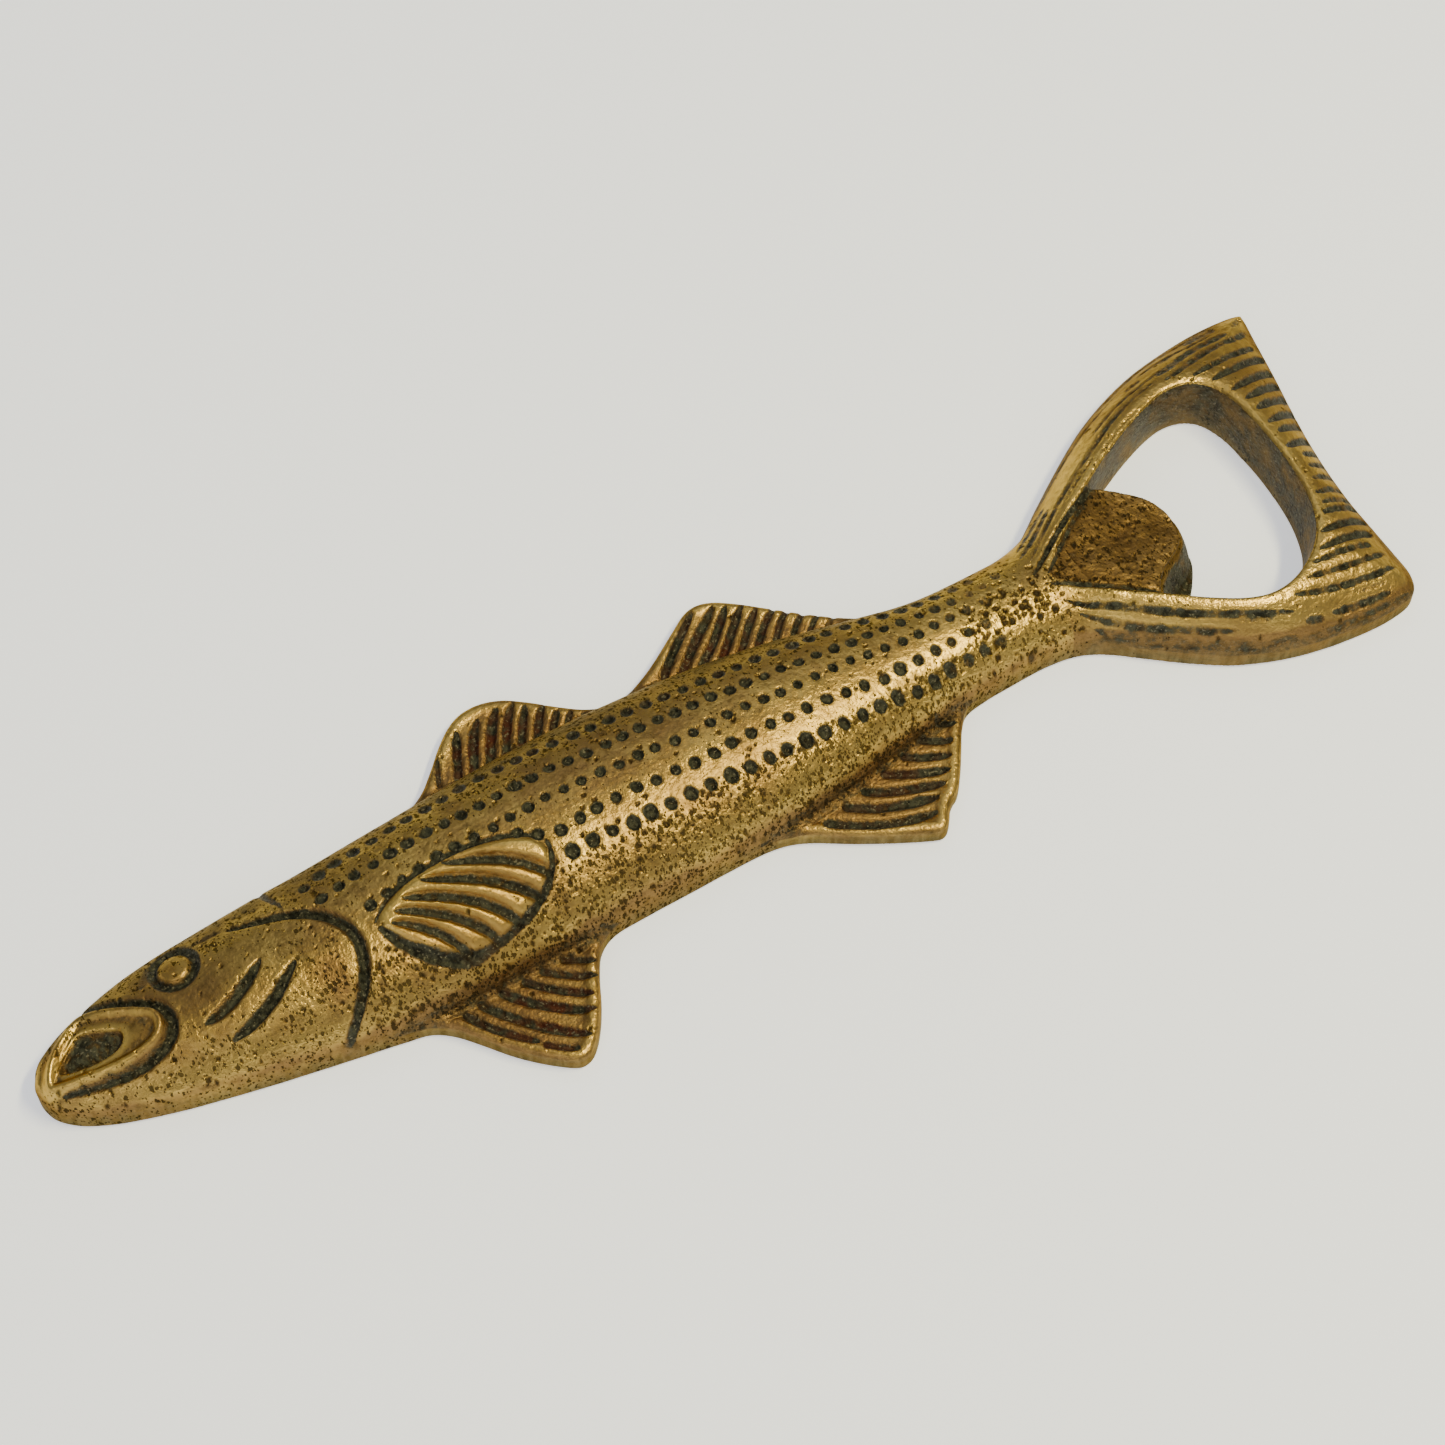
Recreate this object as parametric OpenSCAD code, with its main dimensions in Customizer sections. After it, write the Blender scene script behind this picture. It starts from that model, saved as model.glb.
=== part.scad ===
// Souvenir bottle opener: a long slim fish, sand-cast in brass, lying on its
// flat back. The forked tail closes into a loop with a cap lifter inside it.
// +X runs from the snout to the tail, +Y to the dorsal side, +Z out of the
// decorated face. The origin is the middle of the flat back.

/* [Overall] */
// Overall length, snout tip to the longer tail tip
overall_length = 200; // [180:1:220]
// Greatest height of the body above the flat back
body_height = 12.6; // [11:0.1:14]
// Height of the upright edge that runs round the head and the body
edge_height = 3.2; // [2.8:0.1:3.8]

/* [Fins] */
// Thickness of the four flat fins
fin_thickness = 3; // [2.2:0.1:3.2]
// How far the pectoral fin stands out of the flank
pectoral_relief = 0.7; // [0.3:0.1:1.2]

/* [Opener] */
// Height of the bead round the loop's opening
loop_height = 9.4; // [8.6:0.1:10.4]
// Thickness of the loop at its outer edge
loop_edge = 3.4; // [2.8:0.1:4.2]
// Thickness of the cap lifter where it leaves the fork
lifter_root = 8.7; // [7.8:0.1:9]
// Thickness of the cap lifter at its tip
lifter_tip = 6.6; // [5.4:0.1:7.2]

/* [Head] */
// Diameter of the raised eye
eye_d = 4.2; // [3.4:0.1:4.8]
// Height of the eye's rim above the flat back
eye_top = 9.6; // [9.3:0.1:10]

/* [Hidden] */

// plan scale, and scale of the body's height
k = overall_length / 200;
kh = body_height / 12.6;

// the fish's form: [x, belly edge y, dorsal edge y, crown height]
form = [
    [-100, -2.2, -0.2, 4.4], [-99, -4.4, 2.1, 5.4], [-97, -6.1, 3.7, 6.5],
    [-94, -7.7, 5.3, 7.5], [-90, -9.1, 6.7, 8.4], [-85, -10.5, 8.1, 9.2],
    [-80, -11.6, 9.0, 9.9], [-75, -12.6, 9.5, 10.5], [-70, -13.5, 10.0, 11],
    [-65, -14.3, 10.5, 11.4], [-60, -15.1, 10.9, 11.8],
    [-50, -15.6, 11.8, 12.4], [-40, -15.4, 12.9, 12.6],
    [-30, -15.0, 13.8, 12.6], [-20, -14.6, 14.2, 12.6],
    [-10, -14.2, 14.1, 12.4], [0, -13.5, 13.6, 12.1], [10, -12.2, 12.4, 11.6],
    [20, -10.2, 10.4, 10.8], [30, -8.5, 8.5, 10.0], [40, -7.8, 8.5, 9.5],
    [46, -7.9, 9.1, 9.3]];

// where the head ends and the body begins, and how far the gill edge bows
gill_x = -65.5;
gill_bow = 7;
fork_x = 46;

// smooth curve through the rows of a table P, column c, at x
function row_of(P, x, i = 0) =
    (i >= len(P) - 2 || x < P[i + 1][0]) ? i : row_of(P, x, i + 1);
function slope(P, i, c) =
    i == 0 ? (P[1][c] - P[0][c]) / (P[1][0] - P[0][0]) :
    i == len(P) - 1 ? (P[i][c] - P[i - 1][c]) / (P[i][0] - P[i - 1][0]) :
    (P[i + 1][c] - P[i - 1][c]) / (P[i + 1][0] - P[i - 1][0]);
function at(P, x, c) =
    let (i = row_of(P, x), h = P[i + 1][0] - P[i][0], t = (x - P[i][0]) / h)
    (2 * pow(t, 3) - 3 * t * t + 1) * P[i][c]
    + (pow(t, 3) - 2 * t * t + t) * h * slope(P, i, c)
    + (3 * t * t - 2 * pow(t, 3)) * P[i + 1][c]
    + (pow(t, 3) - t * t) * h * slope(P, i + 1, c);

// each section is bowed towards the tail near the gill, by up to gill_bow
function bow(s) =
    abs(s - gill_x) > 24 ? 0 : gill_bow / 2 * (1 + cos(180 * (s - gill_x) / 24));

// point j of n across the section at s, lifted by g above the skin
function skin(s, j, n, g = 0) =
    let (u = -cos(180 * j / n), yb = at(form, s, 1), yd = at(form, s, 2),
         x = s + bow(s) * (1 - u * u), hi = at(form, x, 3) * kh)
    [k * x, k * ((yb + yd) / 2 + u * (yd - yb) / 2),
     edge_height + g + (hi - edge_height) * sqrt(max(0, 1 - u * u))];
function belly(s) = [k * s, k * at(form, s, 1)];
function dorsal(s) = [k * s, k * at(form, s, 2)];
function ground(p) = [p[0], p[1], 0];

// closed solid between the first and last of the sections S
module lofted(S, n = 14, g = 0) {
    m = len(S);
    w = n + 1;
    top = [for (s = S) for (j = [0:n]) skin(s, j, n, g)];
    low = [for (s = S) for (e = [0, n]) ground(skin(s, e, n))];
    c0 = [for (j = [1:n - 1]) ground(skin(S[0], j, n))];
    c1 = [for (j = [1:n - 1]) ground(skin(S[m - 1], j, n))];
    b = m * w;
    q0 = b + 2 * m;
    q1 = q0 + n - 1;
    // indices of the ground points under section ends, and under the caps
    function lo(i, e) = b + 2 * i + e;
    function cap0(j) = j == 0 ? lo(0, 0) : j == n ? lo(0, 1) : q0 + j - 1;
    function cap1(j) = j == 0 ? lo(m - 1, 0) : j == n ? lo(m - 1, 1) : q1 + j - 1;
    polyhedron(
        points = concat(top, low, c0, c1),
        faces = concat(
            [for (i = [0:m - 2]) for (j = [0:n - 1])
                [i * w + j, i * w + j + 1, (i + 1) * w + j]],
            [for (i = [0:m - 2]) for (j = [0:n - 1])
                [i * w + j + 1, (i + 1) * w + j + 1, (i + 1) * w + j]],
            [for (i = [0:m - 2]) [i * w, (i + 1) * w, lo(i + 1, 0), lo(i, 0)]],
            [for (i = [0:m - 2])
                [(i + 1) * w + n, i * w + n, lo(i, 1), lo(i + 1, 1)]],
            [for (j = [0:n - 1]) [j + 1, j, cap0(j), cap0(j + 1)]],
            [for (j = [0:n - 1])
                [(m - 1) * w + j, (m - 1) * w + j + 1, cap1(j + 1), cap1(j)]],
            [concat([for (i = [0:m - 1]) lo(i, 0)],
                    [for (j = [1:n - 1]) cap1(j)],
                    [for (i = [m - 1:-1:0]) lo(i, 1)],
                    [for (j = [n - 1:-1:1]) cap0(j)])]));
}

head_s = [-100, -99.5, -98.6, -97, -95, -92, -88, -84, -80, -76, -72, -69,
          gill_x];
body_s = concat([gill_x], [for (x = [-62:4:fork_x]) x]);

// plan outlines, in round figures
lip_out = [[-97, -3.6], [-96.2, -1], [-94, 1.2], [-91, 2.6], [-87, 2.5],
           [-84.3, 1.3], [-83.2, -0.4], [-84.5, -2.5], [-88, -4.3],
           [-92, -5.2], [-95.5, -5]];
lip_in = [[-95.3, -3.4], [-94.6, -1.2], [-92.8, 0.3], [-89.5, 0.9],
          [-87.4, 0.3], [-87, -0.8], [-88.6, -2.2], [-91.5, -3.3]];
lip_seat = 3.6;
leaf = [[-52.3, -3.6], [-48, -0.8], [-43, 0], [-38, -0.4], [-33.5, -2],
        [-31.6, -5], [-32.6, -8.6], [-36, -10.6], [-40, -12], [-44, -12.6],
        [-47.5, -10.8], [-50.5, -7.2]];
leaf_seat = 7;
eye_at = [-78.9, 3.4];
eye_seat = 6.4;

function scaled(P) = [for (p = P) k * p];

module eye_plug(top) {
    translate([k * eye_at[0], k * eye_at[1], eye_seat])
        cylinder(d = eye_d, h = top - eye_seat, $fn = 48);
}

module head() {
    color("#9c7a2b") resize([0, 0, 0]) difference() {
        lofted(head_s);
        translate([0, 0, lip_seat]) linear_extrude(20) polygon(scaled(lip_out));
        eye_plug(20);
    }
}

module mouth_lip() {
    color("#c9a548") resize([0, 0, 0]) intersection() {
        translate([0, 0, lip_seat]) linear_extrude(20) difference() {
            polygon(scaled(lip_out));
            polygon(scaled(lip_in));
        }
        lofted(head_s, 14, 0.5);
    }
}

module eye() {
    color("#c09a3c") translate([k * eye_at[0], k * eye_at[1], 0])
        rotate_extrude($fn = 48) polygon([
            [0, eye_seat], [eye_d / 2, eye_seat], [eye_d / 2, eye_top - 0.2],
            [eye_d / 2 - 0.3, eye_top + 0.1], [eye_d / 4, eye_top + 0.3],
            [0, eye_top + 0.4]]);
}

module body() {
    color("#94722a") resize([0, 0, 0]) difference() {
        lofted(body_s);
        translate([0, 0, leaf_seat]) linear_extrude(20) polygon(scaled(leaf));
    }
}

module pectoral_fin() {
    color("#c9a548") resize([0, 0, 0]) intersection() {
        translate([0, 0, leaf_seat]) linear_extrude(20) polygon(scaled(leaf));
        lofted(body_s, 14, pectoral_relief);
    }
}

// a flat fin: its root follows the body's edge from x0 to x1
module flat_fin(root, rim) {
    color("#a98534") linear_extrude(fin_thickness)
        polygon(concat(root, scaled(rim)));
}

module first_dorsal_fin() {
    flat_fin([for (x = [-42:4:-10]) dorsal(x)],
        [[-12.5, 15.1], [-15, 15.8], [-17.5, 17.5], [-20, 19.6],
         [-22.5, 21.6], [-25, 23], [-28, 23.7], [-31, 23.2], [-33, 22],
         [-35, 20.2], [-37, 17.9], [-39, 15.9], [-41, 14]]);
}

module second_dorsal_fin() {
    flat_fin([for (x = [-10:4:26]) dorsal(x)],
        [[24.5, 10.4], [22, 12], [18, 15], [14, 18.3], [10, 21.4],
         [8, 22.8], [5.8, 23.4], [3.6, 22.9], [0, 20.4], [-3, 18.4],
         [-6, 16.6], [-8, 15.4]]);
}

module pelvic_fin() {
    flat_fin([for (x = [-26:-4:-58]) belly(x)],
        [[-56, -16.1], [-54, -16.6], [-52, -17.6], [-50, -19.4], [-47, -23],
         [-44, -26.1], [-41, -28.6], [-39, -29.5], [-37, -28.6],
         [-34.6, -25.6], [-32.4, -21.2], [-30.6, -18], [-28.6, -16.2]]);
}

module anal_fin() {
    flat_fin([for (x = [30:-4:-6]) belly(x)],
        [[-3, -14.3], [0, -15.1], [5, -17.7], [10, -20.5], [14, -22.6],
         [16.6, -23.7], [18, -23.1], [19.6, -20.7], [20.6, -19.9],
         [21.8, -19.2], [24.6, -15.3], [26.8, -12], [28.4, -9.9]]);
}

// the loop in plan: [opening's edge x, y, outer edge x, y], from the upper
// side of the fork round the tail's trailing edge to the fork's lower side
loop = [
    [46, 0.8, 46, 9.1], [50, 3.2, 50, 10.8], [54, 5.9, 53.5, 13.1],
    [58, 8.7, 57, 15.6], [62.4, 11.7, 60.8, 18.3], [67, 14.1, 65.7, 21.5],
    [72.5, 16.7, 71.6, 24.6], [78, 18.5, 79.2, 27.4], [82, 18.4, 88, 29.1],
    [84.4, 17, 95.5, 29.5], [85.4, 15, 99.8, 28.8], [86.1, 12.4, 99, 24],
    [86.5, 9, 97.4, 15.5], [86.6, 4.6, 95.5, 7], [86.4, -0.5, 94.2, -0.5],
    [85.6, -5.3, 93.7, -8], [84.2, -9.2, 93.8, -15], [82.4, -11.8, 93.8, -20.4],
    [80.2, -13.7, 92.3, -23.3], [77.8, -15.2, 87, -24.3],
    [75, -16.3, 79, -23.8], [72, -16.4, 73.5, -22.6], [68.9, -15.5, 68, -21],
    [65.5, -13.6, 63, -18.4], [62, -11.2, 59, -15.9], [58.4, -8.6, 55.2, -12.6],
    [54.4, -5.8, 51.8, -10], [50.2, -2.8, 49, -8.6], [46, 0.2, 46, -7.9]];
loop_n = len(loop) - 1;
loop_fine = 3;

// point of the loop's curves at station t, 0 to loop_n
function loop_at(t) =
    let (i = min(floor(t), loop_n - 1), f = t - i, a = loop[max(i - 1, 0)],
         b = loop[i], c = loop[i + 1], d = loop[min(i + 2, loop_n)])
    k * 0.5 * (2 * b + f * (c - a) + f * f * (2 * a - 5 * b + 4 * c - d)
        + f * f * f * (3 * b - a - 3 * c + d));

// the loop's section: how far out, and how high between edge and crest
loop_row = [[0, 0.9], [0.06, 0.99], [0.16, 1], [0.35, 0.93], [0.55, 0.78],
            [0.75, 0.52], [0.9, 0.24], [1, 0]];

module tail_loop() {
    rows = len(loop_row);
    w = rows + 2;
    T = [for (i = [0:loop_n * loop_fine]) loop_at(i / loop_fine)];
    m = len(T);
    pts = [for (p = T) for (j = [0:w - 1])
        let (f = j < rows ? loop_row[j][0] : j == rows ? 1 : 0,
             z = j < rows ? loop_edge + (loop_height - loop_edge) * loop_row[j][1] : 0)
        [p[0] + f * (p[2] - p[0]), p[1] + f * (p[3] - p[1]), z]];
    color("#b08c38") polyhedron(points = pts, faces = concat(
        [for (i = [0:m - 2]) for (j = [0:w - 1])
            [i * w + j, i * w + (j + 1) % w, (i + 1) * w + j]],
        [for (i = [0:m - 2]) for (j = [0:w - 1])
            [(i + 1) * w + j, i * w + (j + 1) % w, (i + 1) * w + (j + 1) % w]],
        [[for (j = [w - 1:-1:0]) j]],
        [[for (j = [0:w - 1]) (m - 1) * w + j]]));
}

// the cap lifter fills the fork between the loop's two arms; its top falls
// from the fork to the tip
lifter_tip_rim = [[63.2, 10], [66, 8.6], [68, 6.4], [69.4, 3.8], [70, 1],
                  [69.8, -1.6], [68.6, -4.4], [66.6, -7.4], [64.2, -10.6]];

module cap_lifter() {
    up = [for (i = [0:4 * loop_fine]) let (p = loop_at(i / loop_fine)) [p[0], p[1]]];
    down = [for (i = [24 * loop_fine:loop_n * loop_fine])
        let (p = loop_at(i / loop_fine)) [p[0], p[1]]];
    x0 = k * (fork_x - 1);
    x1 = k * 74;
    color("#8d6c2a") intersection() {
        linear_extrude(20) polygon(concat(up, scaled(lifter_tip_rim), down));
        translate([0, k * 40, 0]) rotate([90, 0, 0]) linear_extrude(k * 80)
            polygon([[x0, 0], [x1, 0], [x1, lifter_tip - 0.4],
                     [k * 62, lifter_tip + 0.9], [k * 54, lifter_root],
                     [x0, lifter_root]]);
    }
}

head();
mouth_lip();
eye();
body();
pectoral_fin();
first_dorsal_fin();
second_dorsal_fin();
pelvic_fin();
anal_fin();
tail_loop();
cap_lifter();
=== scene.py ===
import math
import bpy
import numpy as np
from mathutils import Vector, Matrix


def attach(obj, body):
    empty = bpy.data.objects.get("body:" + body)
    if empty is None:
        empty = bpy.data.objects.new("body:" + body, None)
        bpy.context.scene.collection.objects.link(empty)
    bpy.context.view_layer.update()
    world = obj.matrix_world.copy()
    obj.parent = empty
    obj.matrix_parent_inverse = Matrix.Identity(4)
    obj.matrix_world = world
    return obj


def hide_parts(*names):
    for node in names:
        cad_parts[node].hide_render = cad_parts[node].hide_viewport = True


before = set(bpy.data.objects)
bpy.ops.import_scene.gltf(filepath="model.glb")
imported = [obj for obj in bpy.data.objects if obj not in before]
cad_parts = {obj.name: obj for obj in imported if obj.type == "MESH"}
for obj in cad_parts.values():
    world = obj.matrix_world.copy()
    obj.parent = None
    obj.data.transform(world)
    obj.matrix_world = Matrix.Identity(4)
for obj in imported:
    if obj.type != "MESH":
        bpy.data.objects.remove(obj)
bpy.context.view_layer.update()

# All of the shape work below is in millimetres in the row frame; the meshes
# are written in metres.
STEP = 0.31          # lattice of the surface, mm
RNG = np.random.default_rng(20817)


# ---------------------------------------------------------------- form table
FORM = np.array([
    [-100, -2.2, -0.2, 4.4], [-99, -4.4, 2.1, 5.4], [-97, -6.1, 3.7, 6.5],
    [-94, -7.7, 5.3, 7.5], [-90, -9.1, 6.7, 8.4], [-85, -10.5, 8.1, 9.2],
    [-80, -11.6, 9.0, 9.9], [-75, -12.6, 9.5, 10.5], [-70, -13.5, 10.0, 11],
    [-65, -14.3, 10.5, 11.4], [-60, -15.1, 10.9, 11.8],
    [-50, -15.6, 11.9, 12.4], [-40, -15.4, 12.9, 12.6],
    [-30, -15.0, 13.8, 12.6], [-20, -14.6, 14.2, 12.6],
    [-10, -14.2, 14.1, 12.4], [0, -13.5, 13.6, 12.1], [10, -12.2, 12.4, 11.6],
    [20, -10.2, 10.4, 10.8], [30, -8.5, 8.5, 10.0], [40, -7.8, 8.5, 9.5],
    [46, -7.9, 9.1, 9.3], [52, -9.5, 11.5, 9.3], [58, -14, 16, 9.3]], float)


def herm(T, x, c):
    """Smooth curve through the rows of T, column c."""
    x = np.clip(np.asarray(x, float), T[0, 0], T[-1, 0])
    i = np.clip(np.searchsorted(T[:, 0], x, side="right") - 1, 0, len(T) - 2)
    m = np.empty(len(T))
    m[1:-1] = (T[2:, c] - T[:-2, c]) / (T[2:, 0] - T[:-2, 0])
    m[0] = (T[1, c] - T[0, c]) / (T[1, 0] - T[0, 0])
    m[-1] = (T[-1, c] - T[-2, c]) / (T[-1, 0] - T[-2, 0])
    h = T[i + 1, 0] - T[i, 0]
    t = (x - T[i, 0]) / h
    return ((2 * t**3 - 3 * t**2 + 1) * T[i, c] + (t**3 - 2 * t**2 + t) * h * m[i]
            + (3 * t**2 - 2 * t**3) * T[i + 1, c] + (t**3 - t**2) * h * m[i + 1])


def crom(P, n=8, closed=False):
    """Catmull-Rom curve through P (any number of columns)."""
    P = np.asarray(P, float)
    if closed:
        Q = np.vstack([P[-1], P, P[0], P[1]])
    else:
        Q = np.vstack([2 * P[0] - P[1], P, 2 * P[-1] - P[-2]])
    out = []
    t = np.linspace(0, 1, n, endpoint=False)[:, None]
    for i in range(1, len(Q) - 2):
        a, b, c, d = Q[i - 1], Q[i], Q[i + 1], Q[i + 2]
        out.append(0.5 * (2 * b + t * (c - a) + t * t * (2 * a - 5 * b + 4 * c - d)
                          + t**3 * (3 * b - a - 3 * c + d)))
    out = np.vstack(out)
    return out if closed else np.vstack([out, P[-1]])


# outer outline of the whole fish, from the snout along the belly to the tail
# and back along the dorsal side
OUT = [
    [-100, -1.6], [-99.2, -4], [-97, -6.1], [-94, -7.7], [-90, -9.1],
    [-85, -10.5], [-80, -11.6], [-75, -12.6], [-70, -13.5], [-65, -14.3],
    [-60, -15.1], [-57, -15.6], [-54, -16.2], [-51.5, -17.8], [-49, -20.6],
    [-46, -24.2], [-43, -27], [-40.5, -28.9], [-39, -29.4], [-37.4, -28.8],
    [-35.6, -26.8], [-33.6, -23.4], [-31.6, -19.2], [-29.8, -16.6],
    [-27, -15.1], [-22, -14.7], [-15, -14.4], [-8, -14.1], [-3, -14.2],
    [1, -15.4], [6, -18.3], [11, -21], [15, -22.9], [16.8, -23.5],
    [18, -22.8], [19.4, -20.9], [20.4, -20], [21.6, -19.2], [23.4, -17],
    [25.4, -14], [27.4, -11], [29.5, -9], [33, -8.2], [38, -7.8],
    [43, -7.6], [47, -8], [50, -9.1], [53, -11], [57, -14.1], [61, -17],
    [66, -20], [72, -22.3], [78, -23.6], [84, -24.2], [89, -24.1],
    [92.4, -23.2], [93.8, -20.8], [93.9, -17], [93.8, -12], [93.7, -7],
    [94.1, -1], [95, 5], [96.3, 11], [97.7, 17], [98.9, 23], [99.8, 27.6],
    [99.4, 28.9], [96, 29.4], [91, 29.3], [85, 28.5], [79, 27.2], [73, 25.1],
    [67, 22.2], [61, 18.4], [56, 14.9], [52, 12], [48.6, 9.9], [45, 8.9],
    [40, 8.5], [34, 8.3], [29, 8.8], [25, 10.2], [21.5, 12.3], [18, 15],
    [14, 18.3], [10.5, 21.1], [8, 22.7], [5.8, 23.3], [3.6, 22.8],
    [0.5, 20.8], [-3, 18.4], [-6, 16.6], [-9, 15.2], [-12, 14.8],
    [-15, 15.8], [-18, 17.9], [-21, 20.4], [-24, 22.5], [-27, 23.5],
    [-30, 23.4], [-32.5, 22.2], [-35, 20], [-37.5, 17.2], [-40, 14.8],
    [-43, 13.2], [-48, 12.4], [-55, 11.6], [-62, 10.9], [-70, 10.1],
    [-78, 9.2], [-84, 8.2], [-89, 6.9], [-93, 5.6], [-96, 4.2], [-98.3, 2.6],
    [-99.6, 0.6]]
# the loop's full opening, including where the cap lifter stands
VOPEN = [
    [48, 0.8], [52, 4.2], [56, 7.1], [60, 9.8], [64, 12.3], [68, 14.4],
    [72.5, 16.5], [76.5, 18], [79.5, 18.6], [82.4, 18.2], [84.4, 16.9],
    [85.6, 14.8], [86.3, 12], [86.6, 8.5], [86.7, 4.5], [86.4, -0.5],
    [85.6, -5.3], [84.2, -9.2], [82.4, -11.8], [80.2, -13.7], [77.8, -15.1],
    [75, -16.1], [72, -16.3], [68.9, -15.4], [65.5, -13.5], [62, -11.1],
    [58.4, -8.5], [54.4, -5.7], [50.2, -2.6], [48, -0.4]]
# the cap lifter in plan
TONG = [
    [46.5, 0.2], [52, 5.2], [56, 8.1], [60, 10.8], [62.5, 10.3], [64.6, 8.9],
    [66.8, 7.3], [68.6, 5.1], [69.8, 2.4], [70.2, -0.6], [69.8, -3.2],
    [68, -6], [65.4, -8.9], [62.6, -12.2], [58.4, -9.5], [54.4, -6.7],
    [50, -3.4]]


# where its top ends
TOPT = [
    [45, 0.2], [52, 5.2], [56, 8.3], [60, 10.9], [62.9, 9.9], [65.4, 7.9],
    [67.6, 5.8], [68.7, 3.6], [68.9, 1.6], [68.5, -0.4], [67.4, -2.3],
    [65.4, -3.8], [63.1, -5.1], [61, -7], [59.6, -8.9], [58, -10.2],
    [55.6, -9.6], [52, -6.4], [46, -2]]


def smax(a, b, k):
    h = np.clip(0.5 + 0.5 * (a - b) / k, 0, 1)
    return a * h + b * (1 - h) + k * h * (1 - h)


def smin(a, b, k):
    return -smax(-a, -b, k)


def sstep(a, b, x):
    t = np.clip((x - a) / (b - a), 0, 1)
    return t * t * (3 - 2 * t)


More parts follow.
